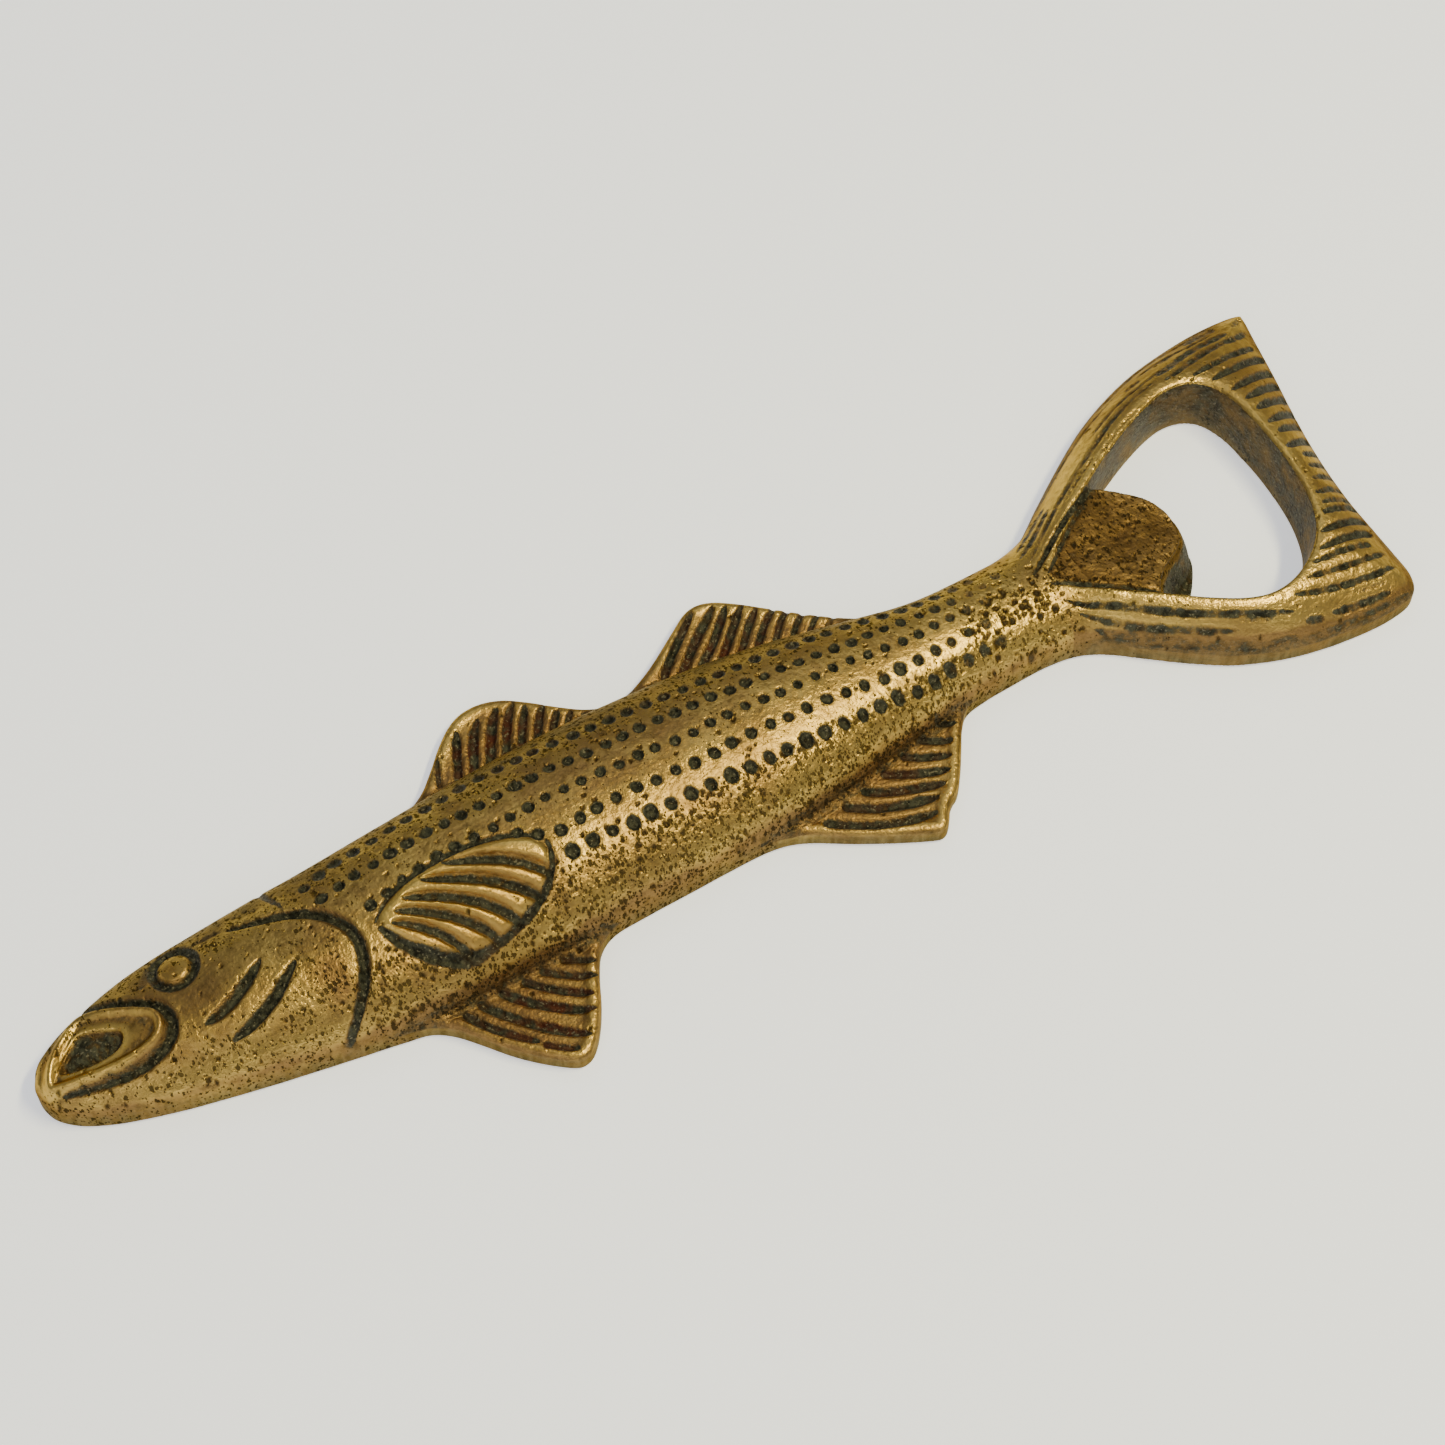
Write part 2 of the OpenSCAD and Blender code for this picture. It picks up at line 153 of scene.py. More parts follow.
# ------------------------------------------------------------ surface detail
# Grooves: points x, y along the line, half width and depth
GROOVES = [
    # gill groove, nape line, cheek slashes, groove round the lip
    ([[-71.2, 4.9], [-68.7, 4.1], [-66, 3.3], [-63.6, 2.3], [-61.2, 0.9], [-59.2, -1.1], [-58, -3.2], [-57.6, -5.4], [-58, -7.8], [-59.2, -10.2], [-61.2, -12.4], [-63.4, -13.9], [-65.4, -14.7]], 0.86, 1.15, 0.4),
    ([[-65.3, 10.6], [-65, 8.4], [-64.5, 6.4], [-63.9, 4.6], [-63.7, 3.2]], 0.5, 0.4, 0.8),
    ([[-78.4, -5.7], [-75.8, -5.3], [-73.2, -4.3], [-71, -3.1], [-69.1, -1.8]], 0.88, 1.1, 0.45),
    ([[-76.4, -8.8], [-73.7, -8.3], [-71.3, -7.6], [-69.3, -6.7], [-67.3, -5.4], [-65.4, -4.1]], 0.85, 1.05, 0.45),
    ([[-92.6, 6.4], [-91, 5.3], [-89.3, 4.2], [-87, 2.8], [-84.7, 1.2], [-82.7, -0.4], [-81.9, -2.4], [-82.3, -4.3], [-84, -5.6], [-86.8, -6.2], [-90, -6.0], [-93.5, -5.3], [-97.2, -4.3]], 0.9, 1.1, 0.45),
    ([[-83.6, 2.9], [-82.2, 4.4], [-81.6, 6.2]], 0.9, 0.35, 0.6),
    ([[-76, 5.6], [-73.6, 5.4], [-71.4, 5.2]], 0.5, 0.3, 0.7),
    # pectoral fin: grooves between the ribs
    ([[-44, -1.4], [-41, -2.4], [-38, -3.8], [-35.6, -5.3], [-33.2, -7.4], [-32.2, -8.6]], 0.6, 1.25, 0.4),
    ([[-47.4, -2.2], [-44.6, -3.3], [-41.6, -4.8], [-38.8, -6.6], [-36.4, -8.6], [-34.4, -10.6]], 0.62, 1.3, 0.4),
    ([[-50.4, -3.3], [-47.4, -4.5], [-44.6, -6], [-42, -7.9], [-40, -9.8], [-38.2, -12]], 0.62, 1.3, 0.4),
    ([[-52, -4.4], [-49.4, -5.6], [-46.8, -7.3], [-44.4, -9.3], [-42.6, -11.2], [-41.6, -12.8]], 0.6, 1.25, 0.4),
    ([[-53, -5.6], [-51, -6.7], [-49, -8.4], [-47.2, -10.4], [-45.8, -12.8]], 0.56, 1.15, 0.4),
    # hollow round the pectoral fin: below and behind it, and a thin top edge
    ([[-54.6, -5.2], [-53.4, -7.6], [-51.6, -9.8], [-49, -11.8], [-45.8, -12.9], [-42.4, -12.9]], 0.95, 0.7, 0.4),
    ([[-44, -13], [-40.6, -12.4], [-37.2, -11.5], [-34.4, -10.2], [-32.3, -8.3], [-31.1, -6.2], [-31, -4.4]], 0.5, 0.6, 0.35),
    ([[-54.8, -4.6], [-52, -2.3], [-48.4, -1.1], [-44, -0.6], [-39.6, -0.7], [-36, -1.4], [-33, -2.7], [-31.3, -4.2]], 0.5, 0.55, 0.3),
    # first dorsal fin
    ([[-37.5, 14.2], [-36.8, 16.2], [-35.8, 18.3]], 0.4, 0.5, 0.4),
    ([[-34.9, 13.9], [-34, 15.9], [-33, 18.3], [-31.7, 21]], 0.6, 0.75, 0.3),
    ([[-32.6, 13.9], [-31.6, 16], [-30.6, 18.2], [-29.4, 20.2], [-28.3, 21.3]], 0.68, 0.8, 0.3),
    ([[-30.3, 13.9], [-29, 16.2], [-27.8, 18.4], [-26.4, 20.6], [-25.3, 21.6]], 0.75, 0.85, 0.3),
    ([[-27.9, 13.9], [-26.7, 16.2], [-25.5, 18.4], [-24.2, 20.3], [-23, 21.4]], 0.66, 0.8, 0.3),
    ([[-25.6, 13.9], [-24.3, 16.4], [-23.1, 18.4], [-21.9, 20.1]], 0.62, 0.78, 0.3),
    ([[-23.2, 13.9], [-22.1, 16], [-21, 17.7], [-19.7, 19.1]], 0.62, 0.78, 0.3),
    ([[-20.9, 13.9], [-19.8, 15.8], [-18.4, 17.4]], 0.55, 0.7, 0.3),
    ([[-18.8, 14], [-17.9, 15.4], [-16.9, 16.3]], 0.45, 0.6, 0.3),
    ([[-16.6, 14.2], [-15.6, 15.3]], 0.35, 0.4, 0.3),
    # second dorsal fin
    ([[-4, 14.6], [-2, 16.6], [0.4, 18.8], [3, 21], [5, 22.5]], 0.6, 0.75, 0.35),
    ([[-1.4, 14.2], [0.6, 16], [3, 18.1], [5.5, 20.1], [7.7, 21.9]], 0.68, 0.8, 0.3),
    ([[1.4, 13.9], [3.4, 15.5], [5.6, 17.4], [7.5, 19.3], [9.3, 21]], 0.66, 0.8, 0.3),
    ([[4.4, 13.6], [6.2, 15.2], [8.1, 17.1], [10.3, 19.3], [11.4, 20]], 0.62, 0.8, 0.3),
    ([[7.1, 13.2], [8.8, 15], [10.5, 16.8], [12.8, 18.7]], 0.6, 0.75, 0.3),
    ([[9.7, 12.9], [11.2, 14.6], [13, 16.3], [15, 17.6]], 0.55, 0.7, 0.3),
    ([[12.2, 12.5], [13.7, 14.3], [15.2, 15.7], [16.7, 16.4]], 0.5, 0.65, 0.3),
    ([[14.6, 11.9], [16, 13.5], [17.6, 14.7], [18.6, 15]], 0.48, 0.6, 0.3),
    ([[16.8, 11.4], [18, 12.6], [19.6, 13.6]], 0.42, 0.5, 0.3),
    ([[19, 10.9], [20.4, 11.9], [21.6, 12.4]], 0.38, 0.4, 0.3),
    # pelvic fin
    ([[-49.4, -16.6], [-48.4, -18.4], [-46.8, -20.6], [-44.8, -22.7], [-42.8, -24.8]], 0.66, 0.8, 0.35),
    ([[-42.6, -25.2], [-40.8, -26.7], [-38.8, -28]], 0.55, 0.65, 0.3),
    ([[-47.2, -16], [-45.4, -18.6], [-43, -21.4], [-40.4, -24], [-38, -26], [-36.6, -27]], 0.7, 0.85, 0.35),
    ([[-44.2, -16], [-42, -18.6], [-39.7, -20.7], [-37, -22.8], [-34.6, -24.1]], 0.7, 0.85, 0.35),
    ([[-41, -16], [-38.4, -18.6], [-36, -20.6], [-33.8, -22.1]], 0.62, 0.8, 0.3),
    ([[-38.4, -15.9], [-35.8, -17.9], [-33.7, -19.3], [-32.3, -20]], 0.58, 0.75, 0.3),
    ([[-35.4, -15.8], [-33.3, -17], [-31.5, -18.2]], 0.5, 0.65, 0.3),
    # anal fin
    ([[3.6, -14.9], [6.6, -16.9], [10, -18.7], [13.4, -19.9], [17.6, -20.8]], 0.74, 0.85, 0.3),
    ([[7, -13.9], [10.4, -16], [13.7, -17.4], [16.7, -18.3], [19, -18.8]], 0.74, 0.85, 0.3),
    ([[10.4, -13.1], [13.3, -14.8], [16.3, -16], [18.7, -16.8], [20.8, -17.5]], 0.7, 0.85, 0.3),
    ([[14, -12.1], [17, -13.8], [19.3, -14.8], [22.4, -16]], 0.68, 0.8, 0.3),
    ([[17.6, -11], [20.3, -12.7], [22, -13.4], [23.8, -14.2]], 0.62, 0.75, 0.3),
    ([[20.8, -10], [23, -11.3], [25.2, -12.4]], 0.56, 0.7, 0.3),
    ([[24, -9.1], [26.8, -10.3]], 0.46, 0.6, 0.3),
    # fork: V grooves beside the cap lifter
    ([[45.6, 1.2], [48.6, 3.2], [51.8, 5.4], [55, 7.3], [58, 8.9], [61, 10.6], [63.4, 12]], 0.55, 0.75, 0.3),
    ([[47.6, 0.6], [50, 2.4], [53.2, 4.9], [56.6, 7.3], [59.8, 9.4]], 0.42, 0.5, 0.3),
    ([[46.4, -0.6], [49, -1.8], [51.8, -3.5], [55, -5.4], [58, -7.5], [60.6, -9.6], [63, -11.6]], 0.5, 0.6, 0.3),
    # upper arm
    ([[46.4, 3.4], [48.6, 5], [51.3, 7.2], [54.3, 9.3], [57.2, 11.2], [60, 12.9], [62.8, 14.5], [65.4, 15.9], [68.4, 17.7], [71.8, 19.2], [75, 20.3], [78.5, 21]], 0.42, 0.45, 0.3),
    ([[46, 5], [48.6, 6.6], [51.6, 8.8], [54.4, 10.8]], 0.5, 0.5, 0.4),
    ([[48.4, 8], [51.4, 9.9], [54.4, 11.8]], 0.45, 0.4, 0.4),
    ([[63, 12.9], [66.6, 14.9], [70.6, 16.9], [74.6, 18.4], [77.6, 19.3]], 0.32, 0.3, 0.3),
    ([[75, 22.6], [77.8, 23.2]], 0.5, 0.4, 0.3),
    ([[54, 12.6], [58, 15.3], [62, 17.8], [66, 20], [70, 21.8], [74, 23.3]], 0.26, 0.36, 0.3),
    ([[66, 17.9], [70, 19.8], [74, 21.2], [78.6, 22.2], [83, 23.4]], 0.28, 0.4, 0.3),
    ([[70.4, 22.9], [75, 24.5], [80, 26.1], [86, 27.4]], 0.28, 0.4, 0.3),
    ([[78, 24.3], [83, 25.4], [88, 25.7], [93, 26.3]], 0.3, 0.42, 0.3),
    ([[84, 26.6], [89, 27.5], [93.4, 28.2]], 0.26, 0.36, 0.3),
    ([[56, 9.6], [60, 12], [64, 14.2]], 0.3, 0.42, 0.3),
    ([[46.6, 6.6], [49.4, 8.6], [52.6, 10.8]], 0.3, 0.4, 0.3),
    ([[76.6, 25.1], [79, 25.9]], 0.5, 0.35, 0.3),
    ([[79.6, 22], [82.4, 22.6], [86, 23.9], [89.8, 24.6], [94.4, 25.2]], 0.52, 0.5, 0.3),
    ([[79.8, 20.4], [83.4, 21.2], [86.8, 22.2], [90.4, 23], [94.6, 23.8], [98, 25]], 0.5, 0.5, 0.3),
    ([[82.2, 24.8], [85.2, 25.7]], 0.4, 0.35, 0.3),
    ([[88, 26.6], [91.4, 27.2], [94, 27.4]], 0.5, 0.4, 0.3),
    ([[96, 26.2], [98.6, 27.6]], 0.45, 0.4, 0.3),
    ([[90, 28.3], [93.6, 28.6]], 0.45, 0.35, 0.3),
    # trailing edge of the tail
    ([[83.8, 19.2], [87.4, 19.7], [92, 20.6], [97, 21.9]], 0.5, 0.6, 0.25),
    ([[85.8, 17.2], [89.3, 17.8], [93.3, 18.8], [97.6, 19.9]], 0.6, 0.75, 0.2),
    ([[87.2, 14.4], [90, 15.1], [93.3, 16.1], [97, 17.2]], 0.62, 0.8, 0.2),
    ([[88, 12.2], [90.7, 12.9], [94, 13.9], [96.6, 14.8]], 0.62, 0.8, 0.2),
    ([[88.3, 10], [90.7, 10.6], [94, 11.5], [96.2, 12.3]], 0.62, 0.8, 0.2),
    ([[88.4, 7.3], [91, 8], [94, 8.9], [95.6, 9.5]], 0.6, 0.78, 0.2),
    ([[88.7, 5.3], [91.3, 5.9], [94.6, 6.8]], 0.58, 0.7, 0.2),
    ([[88.1, 2.4], [90.7, 3], [93.9, 3.9]], 0.6, 0.7, 0.2),
    ([[89.6, 0.5], [92, 1], [93.8, 1.6]], 0.5, 0.55, 0.25),
    ([[89, -1.5], [91.4, -1.2], [93.4, -0.8]], 0.5, 0.5, 0.25),
    ([[88, -3.7], [90.6, -3.5], [93.2, -3.2]], 0.5, 0.5, 0.25),
    ([[86.8, -6], [89.6, -5.9], [92.6, -5.6]], 0.5, 0.55, 0.25),
    ([[86.6, -7.8], [89.6, -7.7], [92.6, -7.6]], 0.46, 0.5, 0.25),
    ([[85.8, -9.3], [88.8, -9.2], [92.6, -9.1]], 0.55, 0.65, 0.25),
    ([[83.6, -11.8], [87.3, -11.7], [92.4, -11.5]], 0.58, 0.7, 0.25),
    ([[81.8, -14], [86, -13.9], [91.6, -13.8]], 0.58, 0.7, 0.25),
    ([[79.6, -15.5], [83.3, -15.5], [89.6, -15.7]], 0.5, 0.55, 0.3),
    ([[77.6, -17], [81.7, -17.4], [86.7, -17.7], [91.2, -17.4]], 0.58, 0.65, 0.25),
    ([[74.6, -18.3], [78.3, -19.1], [82, -19.6], [86.7, -19.9], [91.4, -19.7]], 0.58, 0.65, 0.25),
    ([[75, -21.3], [77.9, -21.9]], 0.5, 0.45, 0.3),
    ([[79, -21.8], [83.3, -22.3], [88.7, -22.4]], 0.55, 0.55, 0.3),
    ([[83.2, -21], [86, -21.1], [88.4, -21.1]], 0.3, 0.3, 0.3),
    ([[75.6, -22.9], [80, -23.3], [86.7, -23.5], [91.3, -23.2]], 0.42, 0.45, 0.3),
    # lower arm
    ([[47.4, -3.6], [50, -5.6], [52.8, -7.5], [56, -9.9], [59.4, -12.4], [62.8, -14.7], [66.2, -16.7], [70, -18.6], [74, -20]], 0.55, 0.65, 0.3),
    ([[48.6, -5.8], [51, -7.7], [53.4, -9.7], [56.4, -12], [60, -14.6], [63.4, -16.8], [66.2, -18.4]], 0.45, 0.5, 0.3),
    ([[50, -8], [53, -10.4], [56.4, -13.1], [60.4, -16], [65, -18.9], [69, -20.8], [73.4, -22]], 0.45, 0.5, 0.3),
    ([[66.6, -17.7], [68.8, -18.7], [70.8, -19.5]], 0.3, 0.35, 0.3),
]
# Rows of dimples: points x, y along the row, radius, spacing
ROWS = [
    ([[-60.2, 5.2], [-57.7, 6.2], [-54.8, 6.9], [-52, 7.2], [-46, 8], [-40, 8.6], [-33, 9.1], [-25, 8.8], [-17, 8.3], [-9, 7.8], [0, 7.5], [10, 7.2], [17, 6.7], [22, 6.4], [28, 5.6], [33, 5.3], [38, 5.5]], 0.93, 2.62),
    ([[-59, 2], [-56.2, 2.7], [-53.8, 3.1], [-49, 3.5], [-41, 4.1], [-34, 4.4], [-28, 4.7], [-20, 4.5], [-12, 4.4], [-4, 4.2], [4, 3.9], [13, 3.4], [20, 3.3], [27, 3.1], [33, 2.7], [37, 3], [41.4, 3.8]], 0.92, 2.58),
    ([[-54.3, -2.1], [-52.3, -1.6], [-50, -1.1], [-47, -0.5], [-44, -0.1], [-40, 0.1], [-36, 0.2], [-33, 0.6], [-28, 0.8], [-20, 0.8], [-12, 0.5], [-6, 0.4], [0, 0.7], [6, 0.4], [13, 0.5], [20, 0.4], [26, 0.1], [30, 0.5], [33, 0.7], [37.4, 1]], 0.84, 2.56),
    ([[-33.8, -2], [-30.8, -3.8], [-26, -4], [-20.3, -3.4], [-12, -3.6], [-5, -3.4], [3, -3.2], [11, -3.2], [17, -3.6], [24, -3.2], [30, -2.7], [36, -2.4]], 0.9, 2.72),
    ([[-28.6, -7.2], [-20, -7.1], [-12, -7], [-4, -7], [4, -6.8], [12, -6.7], [18, -6.4], [23, -6.4], [27, -5.8], [32, -5.3], [37, -5]], 1.0, 2.78),
]
EYE = (-78.8, 3.5)
LEAF = [[-54.4, -4.4], [-51, -2.4], [-48, -1.5], [-44, -1], [-40, -1.1],
        [-36, -1.9], [-33, -3.2], [-31.5, -5], [-31.7, -7], [-33.4, -9.4],
        [-36.6, -11], [-40, -12], [-43.6, -12.5], [-47.4, -12],
        [-50.4, -10.8], [-52.4, -8.4]]
LIPO = [[-98.2, -2.6], [-97, -0.2], [-94.6, 2.2], [-92.1, 3.7], [-90, 3.1],
        [-87.6, 1.8], [-85.2, 0.3], [-83.4, -1.2], [-83.3, -3], [-84.6, -4.4],
        [-87.4, -5], [-90.4, -4.9], [-94, -4.3], [-97, -3.5]]
MOUTH = [[-96.4, -1.5], [-95.3, -0.2], [-93.8, 0.9], [-92.6, 1.6], [-91, 1.1],
         [-89.3, 0.1], [-87.9, -1], [-88.2, -2.3], [-89.6, -3],
         [-91.8, -3.05], [-94.2, -2.6], [-95.7, -2.1]]


class Field:
    """A height field on a regular grid in plan."""

    def __init__(s, step=0.125, x0=-101.5, x1=101.5, y0=-31, y1=31):
        s.h, s.x0, s.y0 = step, x0, y0
        s.xs = np.arange(x0, x1 + step / 2, step)
        s.ys = np.arange(y0, y1 + step / 2, step)
        s.X, s.Y = np.meshgrid(s.xs, s.ys, indexing="ij")

    def win(s, x0, x1, y0, y1):
        i0 = max(int((x0 - s.x0) / s.h), 0)
        i1 = min(int((x1 - s.x0) / s.h) + 2, len(s.xs))
        j0 = max(int((y0 - s.y0) / s.h), 0)
        j1 = min(int((y1 - s.y0) / s.h) + 2, len(s.ys))
        return slice(i0, i1), slice(j0, j1)

    def sample(s, A, x, y):
        u = np.clip((x - s.x0) / s.h, 0, len(s.xs) - 1.001)
        v = np.clip((y - s.y0) / s.h, 0, len(s.ys) - 1.001)
        i, j = u.astype(np.int32), v.astype(np.int32)
        u, v = u - i, v - j
        return (A[i, j] * (1 - u) * (1 - v) + A[i + 1, j] * u * (1 - v)
                + A[i, j + 1] * (1 - u) * v + A[i + 1, j + 1] * u * v)


def line_dist(P, X, Y):
    """Distance to an open line, and the share of its length at the foot."""
    P = np.asarray(P, float)
    A, D = P[:-1], P[1:] - P[:-1]
    L = np.hypot(D[:, 0], D[:, 1])
    S = np.concatenate([[0], np.cumsum(L)])
    best = np.full(X.shape, 1e9)
    at = np.zeros(X.shape)
    for k in range(len(A)):
        if L[k] < 1e-9:
            continue
        ax, ay = X - A[k, 0], Y - A[k, 1]
        t = np.clip((ax * D[k, 0] + ay * D[k, 1]) / L[k]**2, 0, 1)
        d = np.hypot(ax - t * D[k, 0], ay - t * D[k, 1])
        m = d < best
        best = np.where(m, d, best)
        at = np.where(m, (S[k] + t * L[k]) / S[-1], at)
    return best, at


def blur(A, sigma, h):
    """Gaussian blur of A, sigma in mm."""
    n = max(int(3 * sigma / h), 1)
    k = np.exp(-0.5 * (np.arange(-n, n + 1) * h / sigma)**2)
    k /= k.sum()
    for ax in (0, 1):
        p = np.pad(A, [(n, n) if a == ax else (0, 0) for a in (0, 1)], mode="edge")
        B = np.zeros_like(A)
        for i, w in enumerate(k):
            B += w * (p[i:i + A.shape[0], :] if ax == 0 else p[:, i:i + A.shape[1]])
        A = B
    return A


def noise(rng, f, size):
    """Smooth random field, about -1 to 1, with lumps of the given size, mm."""
    nx = int((f.xs[-1] - f.x0) / size) + 4
    ny = int((f.ys[-1] - f.y0) / size) + 4
    G = rng.uniform(-1, 1, (nx, ny))
    u, v = (f.xs - f.x0) / size + 1, (f.ys - f.y0) / size + 1

    def axis(G, u):
        i = u.astype(int)
        t = (u - i)[:, None]
        a, b, c, d = G[i - 1], G[i], G[i + 1], G[i + 2]
        return (a * (1 - t)**3 + b * (3 * t**3 - 6 * t**2 + 4)
                + c * (-3 * t**3 + 3 * t**2 + 3 * t + 1) + d * t**3) / 6
    return axis(axis(G, u).T, v).T * 1.6


def outline_sdf(P, f, R):
    """Signed distance to a closed outline on the field's grid, negative
    inside, exact up to R mm."""
    D2 = np.full(f.X.shape, float(R * R))
    B = np.roll(P, -1, 0)
    for a, b in zip(P, B):
        w = f.win(min(a[0], b[0]) - R, max(a[0], b[0]) + R,
                  min(a[1], b[1]) - R, max(a[1], b[1]) + R)
        d = b - a
        L2 = d @ d + 1e-12
        ax, ay = f.X[w] - a[0], f.Y[w] - a[1]
        t = np.clip((ax * d[0] + ay * d[1]) / L2, 0, 1)
        q = (ax - t * d[0])**2 + (ay - t * d[1])**2
        D2[w] = np.minimum(D2[w], q)
    inside = np.zeros(f.X.shape, bool)
    for i, x in enumerate(f.xs):
        x = x + 1e-7
        m = (P[:, 0] > x) != (B[:, 0] > x)
        if m.any():
            y = P[m, 1] + (x - P[m, 0]) / (B[m, 0] - P[m, 0]) * (B[m, 1] - P[m, 1])
            inside[i] = np.searchsorted(np.sort(y), f.ys) % 2 == 1
    d = np.sqrt(D2)
    return np.where(inside, -d, d)


def gap(f, cx, cy, rx, ry):
    return np.exp(-(((f.X - cx) / rx)**2 + ((f.Y - cy) / ry)**2))


f = Field(0.125)
X, Y = f.X, f.Y
sO = outline_sdf(crom(OUT, 6, True), f, 14)
sV = outline_sdf(crom(VOPEN, 6, True), f, 14)
sT = outline_sdf(crom(TONG, 6, True), f, 6)
sLeaf = outline_sdf(crom(LEAF, 6, True), f, 4)
sLip = outline_sdf(crom(LIPO, 6, True), f, 4)
sMouth = outline_sdf(crom(MOUTH, 6, True), f, 4)

# ---- the form under the detail
yb, yd, hh = (herm(FORM, f.xs, c)[:, None] for c in (1, 2, 3))
mid, half = (yb + yd) / 2, (yd - yb) / 2
u = np.abs(Y - mid) / half
beyond = np.abs(Y - mid) - half
arch = np.where(u < 1, (1 - np.minimum(u, 1)**2.1)**0.56, 0)
RIM = 2.5
Hb = RIM + (hh - RIM) * arch - 2.2 * np.clip(beyond, 0, 1.2)
din, dout = np.clip(sV, 0, None), np.clip(-sO, 0, None)
t = din / (din + dout + 1e-6)
prof = np.interp(t, [0, .05, .12, .22, .34, .48, .62, .76, .88, 1],
                 [8.8, 9.25, 9.45, 9.35, 9.0, 8.35, 7.4, 6.2, 4.9, 3.3])
w = sstep(46, 54, X)
Hr = np.where(X > 46, Hb * (1 - w) + prof * w, Hb)
# fins: flat plates with a slightly raised rim
plate = 2.75 + 0.3 * np.exp(-((sO + 1.0) / 0.75)**2)
fins = np.where((X < 46), plate, 0)
root_dark = np.exp(-((beyond - 0.35) / 0.55)**2) * (X < 33) * (X > -60) * (sO < -1.6) * np.where(Y > 0, 1, 0.2)
fillet = np.where(Y < 0, 3.0, 1.0)
H = np.where(X < 50, smax(Hr, fins - 0.35 * root_dark, fillet), Hr)
lift = np.interp(X, [46, 50, 54, 60, 66, 70], [9.25, 9.0, 8.7, 7.9, 7.0, 6.3])
sTop = outline_sdf(crom(TOPT, 6, True), f, 5)
lift = lift - 2.6 * np.clip(sTop - 0.25 + 0.5 * np.exp(-np.abs(sTop) / 0.5), 0, 2.2) * sstep(55, 58, X)
lift = lift - 0.25 * np.exp(-((Y - (X - 46) * 0.1 - 0.5) / 3.5)**2) * (X > 52)
H = np.where(X > 45.5, lift + (H - lift) * sstep(-0.35, 0.35, sV), H)

# ---- head
H = H + 0.35 * gap(f, -69.5, -4.5, 8, 6.5)
H = H - 0.30 * gap(f, -78.8, 3.6, 4.6, 4.2)
H = H + 1.0 * (1 - sstep(0.05, 1.15, np.abs(sLip)))
ramp = 1.0 + 0.9 * sstep(-0.6, -3.0, Y)
H = H - ramp * (1 - sstep(-0.5, 0.3, sMouth))
# ---- pectoral fin stands out of the flank
H = H + 0.55 * (1 - sstep(-0.9, 0.35, sLeaf))

# ---- grooves
cav = np.zeros_like(X)
cut = np.zeros_like(X)
for pts, wide, deep, taper in GROOVES:
    P = crom(pts, 6)
    q = f.win(P[:, 0].min() - 3, P[:, 0].max() + 3, P[:, 1].min() - 3, P[:, 1].max() + 3)
    d, at = line_dist(P, X[q], Y[q])
    head, tail = taper, taper
    if -54 < pts[0][0] < -42 and -7 < pts[0][1] < -1 and deep > 1:
        head, tail = 0.4, 0.05                      # between the pectoral ribs
    elif pts[0][0] < 44 and abs(pts[0][1]) > 8.8:
        head, tail = 0.08, taper                    # fins: open at the root
    elif pts[0][0] < -90 and len(pts) > 10:
        head, tail = 0.25, 0.6                      # round the lip
    elif pts[0][0] > 79:
        head, tail = 0.4, 0.12                      # trailing edge of the tail
    k = np.clip(np.minimum(at / head, (1 - at) / tail), 0, 1)
    k = np.sqrt(np.clip(k * (2 - k), 0, 1)) * 0.85 + 0.15
    if pts[0][0] > 45 and deep < 0.7:              # worn lines on the tail's arms
        worn = 0.55 + 0.6 * np.abs(np.sin(at * 21 + pts[0][1]) * np.sin(at * 8.3 + deep * 40))
    else:
        worn = 1.0
    wob = 1 + 0.06 * np.sin(X[q] * 2.1 + pts[0][0]) * np.sin(Y[q] * 1.7 + pts[0][1] * 3)
    fin = pts[0][0] < 44 and abs(pts[0][1]) > 8.8
    rib = -54 < pts[0][0] < -42 and -7 < pts[0][1] < -1 and deep > 1
    r = d / (wide * (1.3 if pts[0][0] > 79 else 1.22 if fin else 1.12 if rib else 1.0) * k * wob)
    g = deep * k * worn * (1 - sstep(0.1, 2.1 if rib else 1.3, r))
    cut[q] = smax(cut[q], g, 0.12)
    cav[q] = np.maximum(cav[q], np.clip(deep / 0.55, 0, 1) * np.minimum(worn + 0.15, 1) * (1 - sstep(0.45, 1.35, r)))
# ring groove round the eye, and the eye's dome
de = np.hypot(X - EYE[0], (Y - EYE[1]) / 1.08)
ring = np.exp(-((de - 2.65) / 0.62)**2)
cut = np.maximum(cut, 0.95 * ring)
cav = np.maximum(cav, np.exp(-((de - 2.8) / 0.8)**4))
H = H + 0.55 * np.sqrt(np.clip(1 - (de / 2.3)**2, 0, 1))

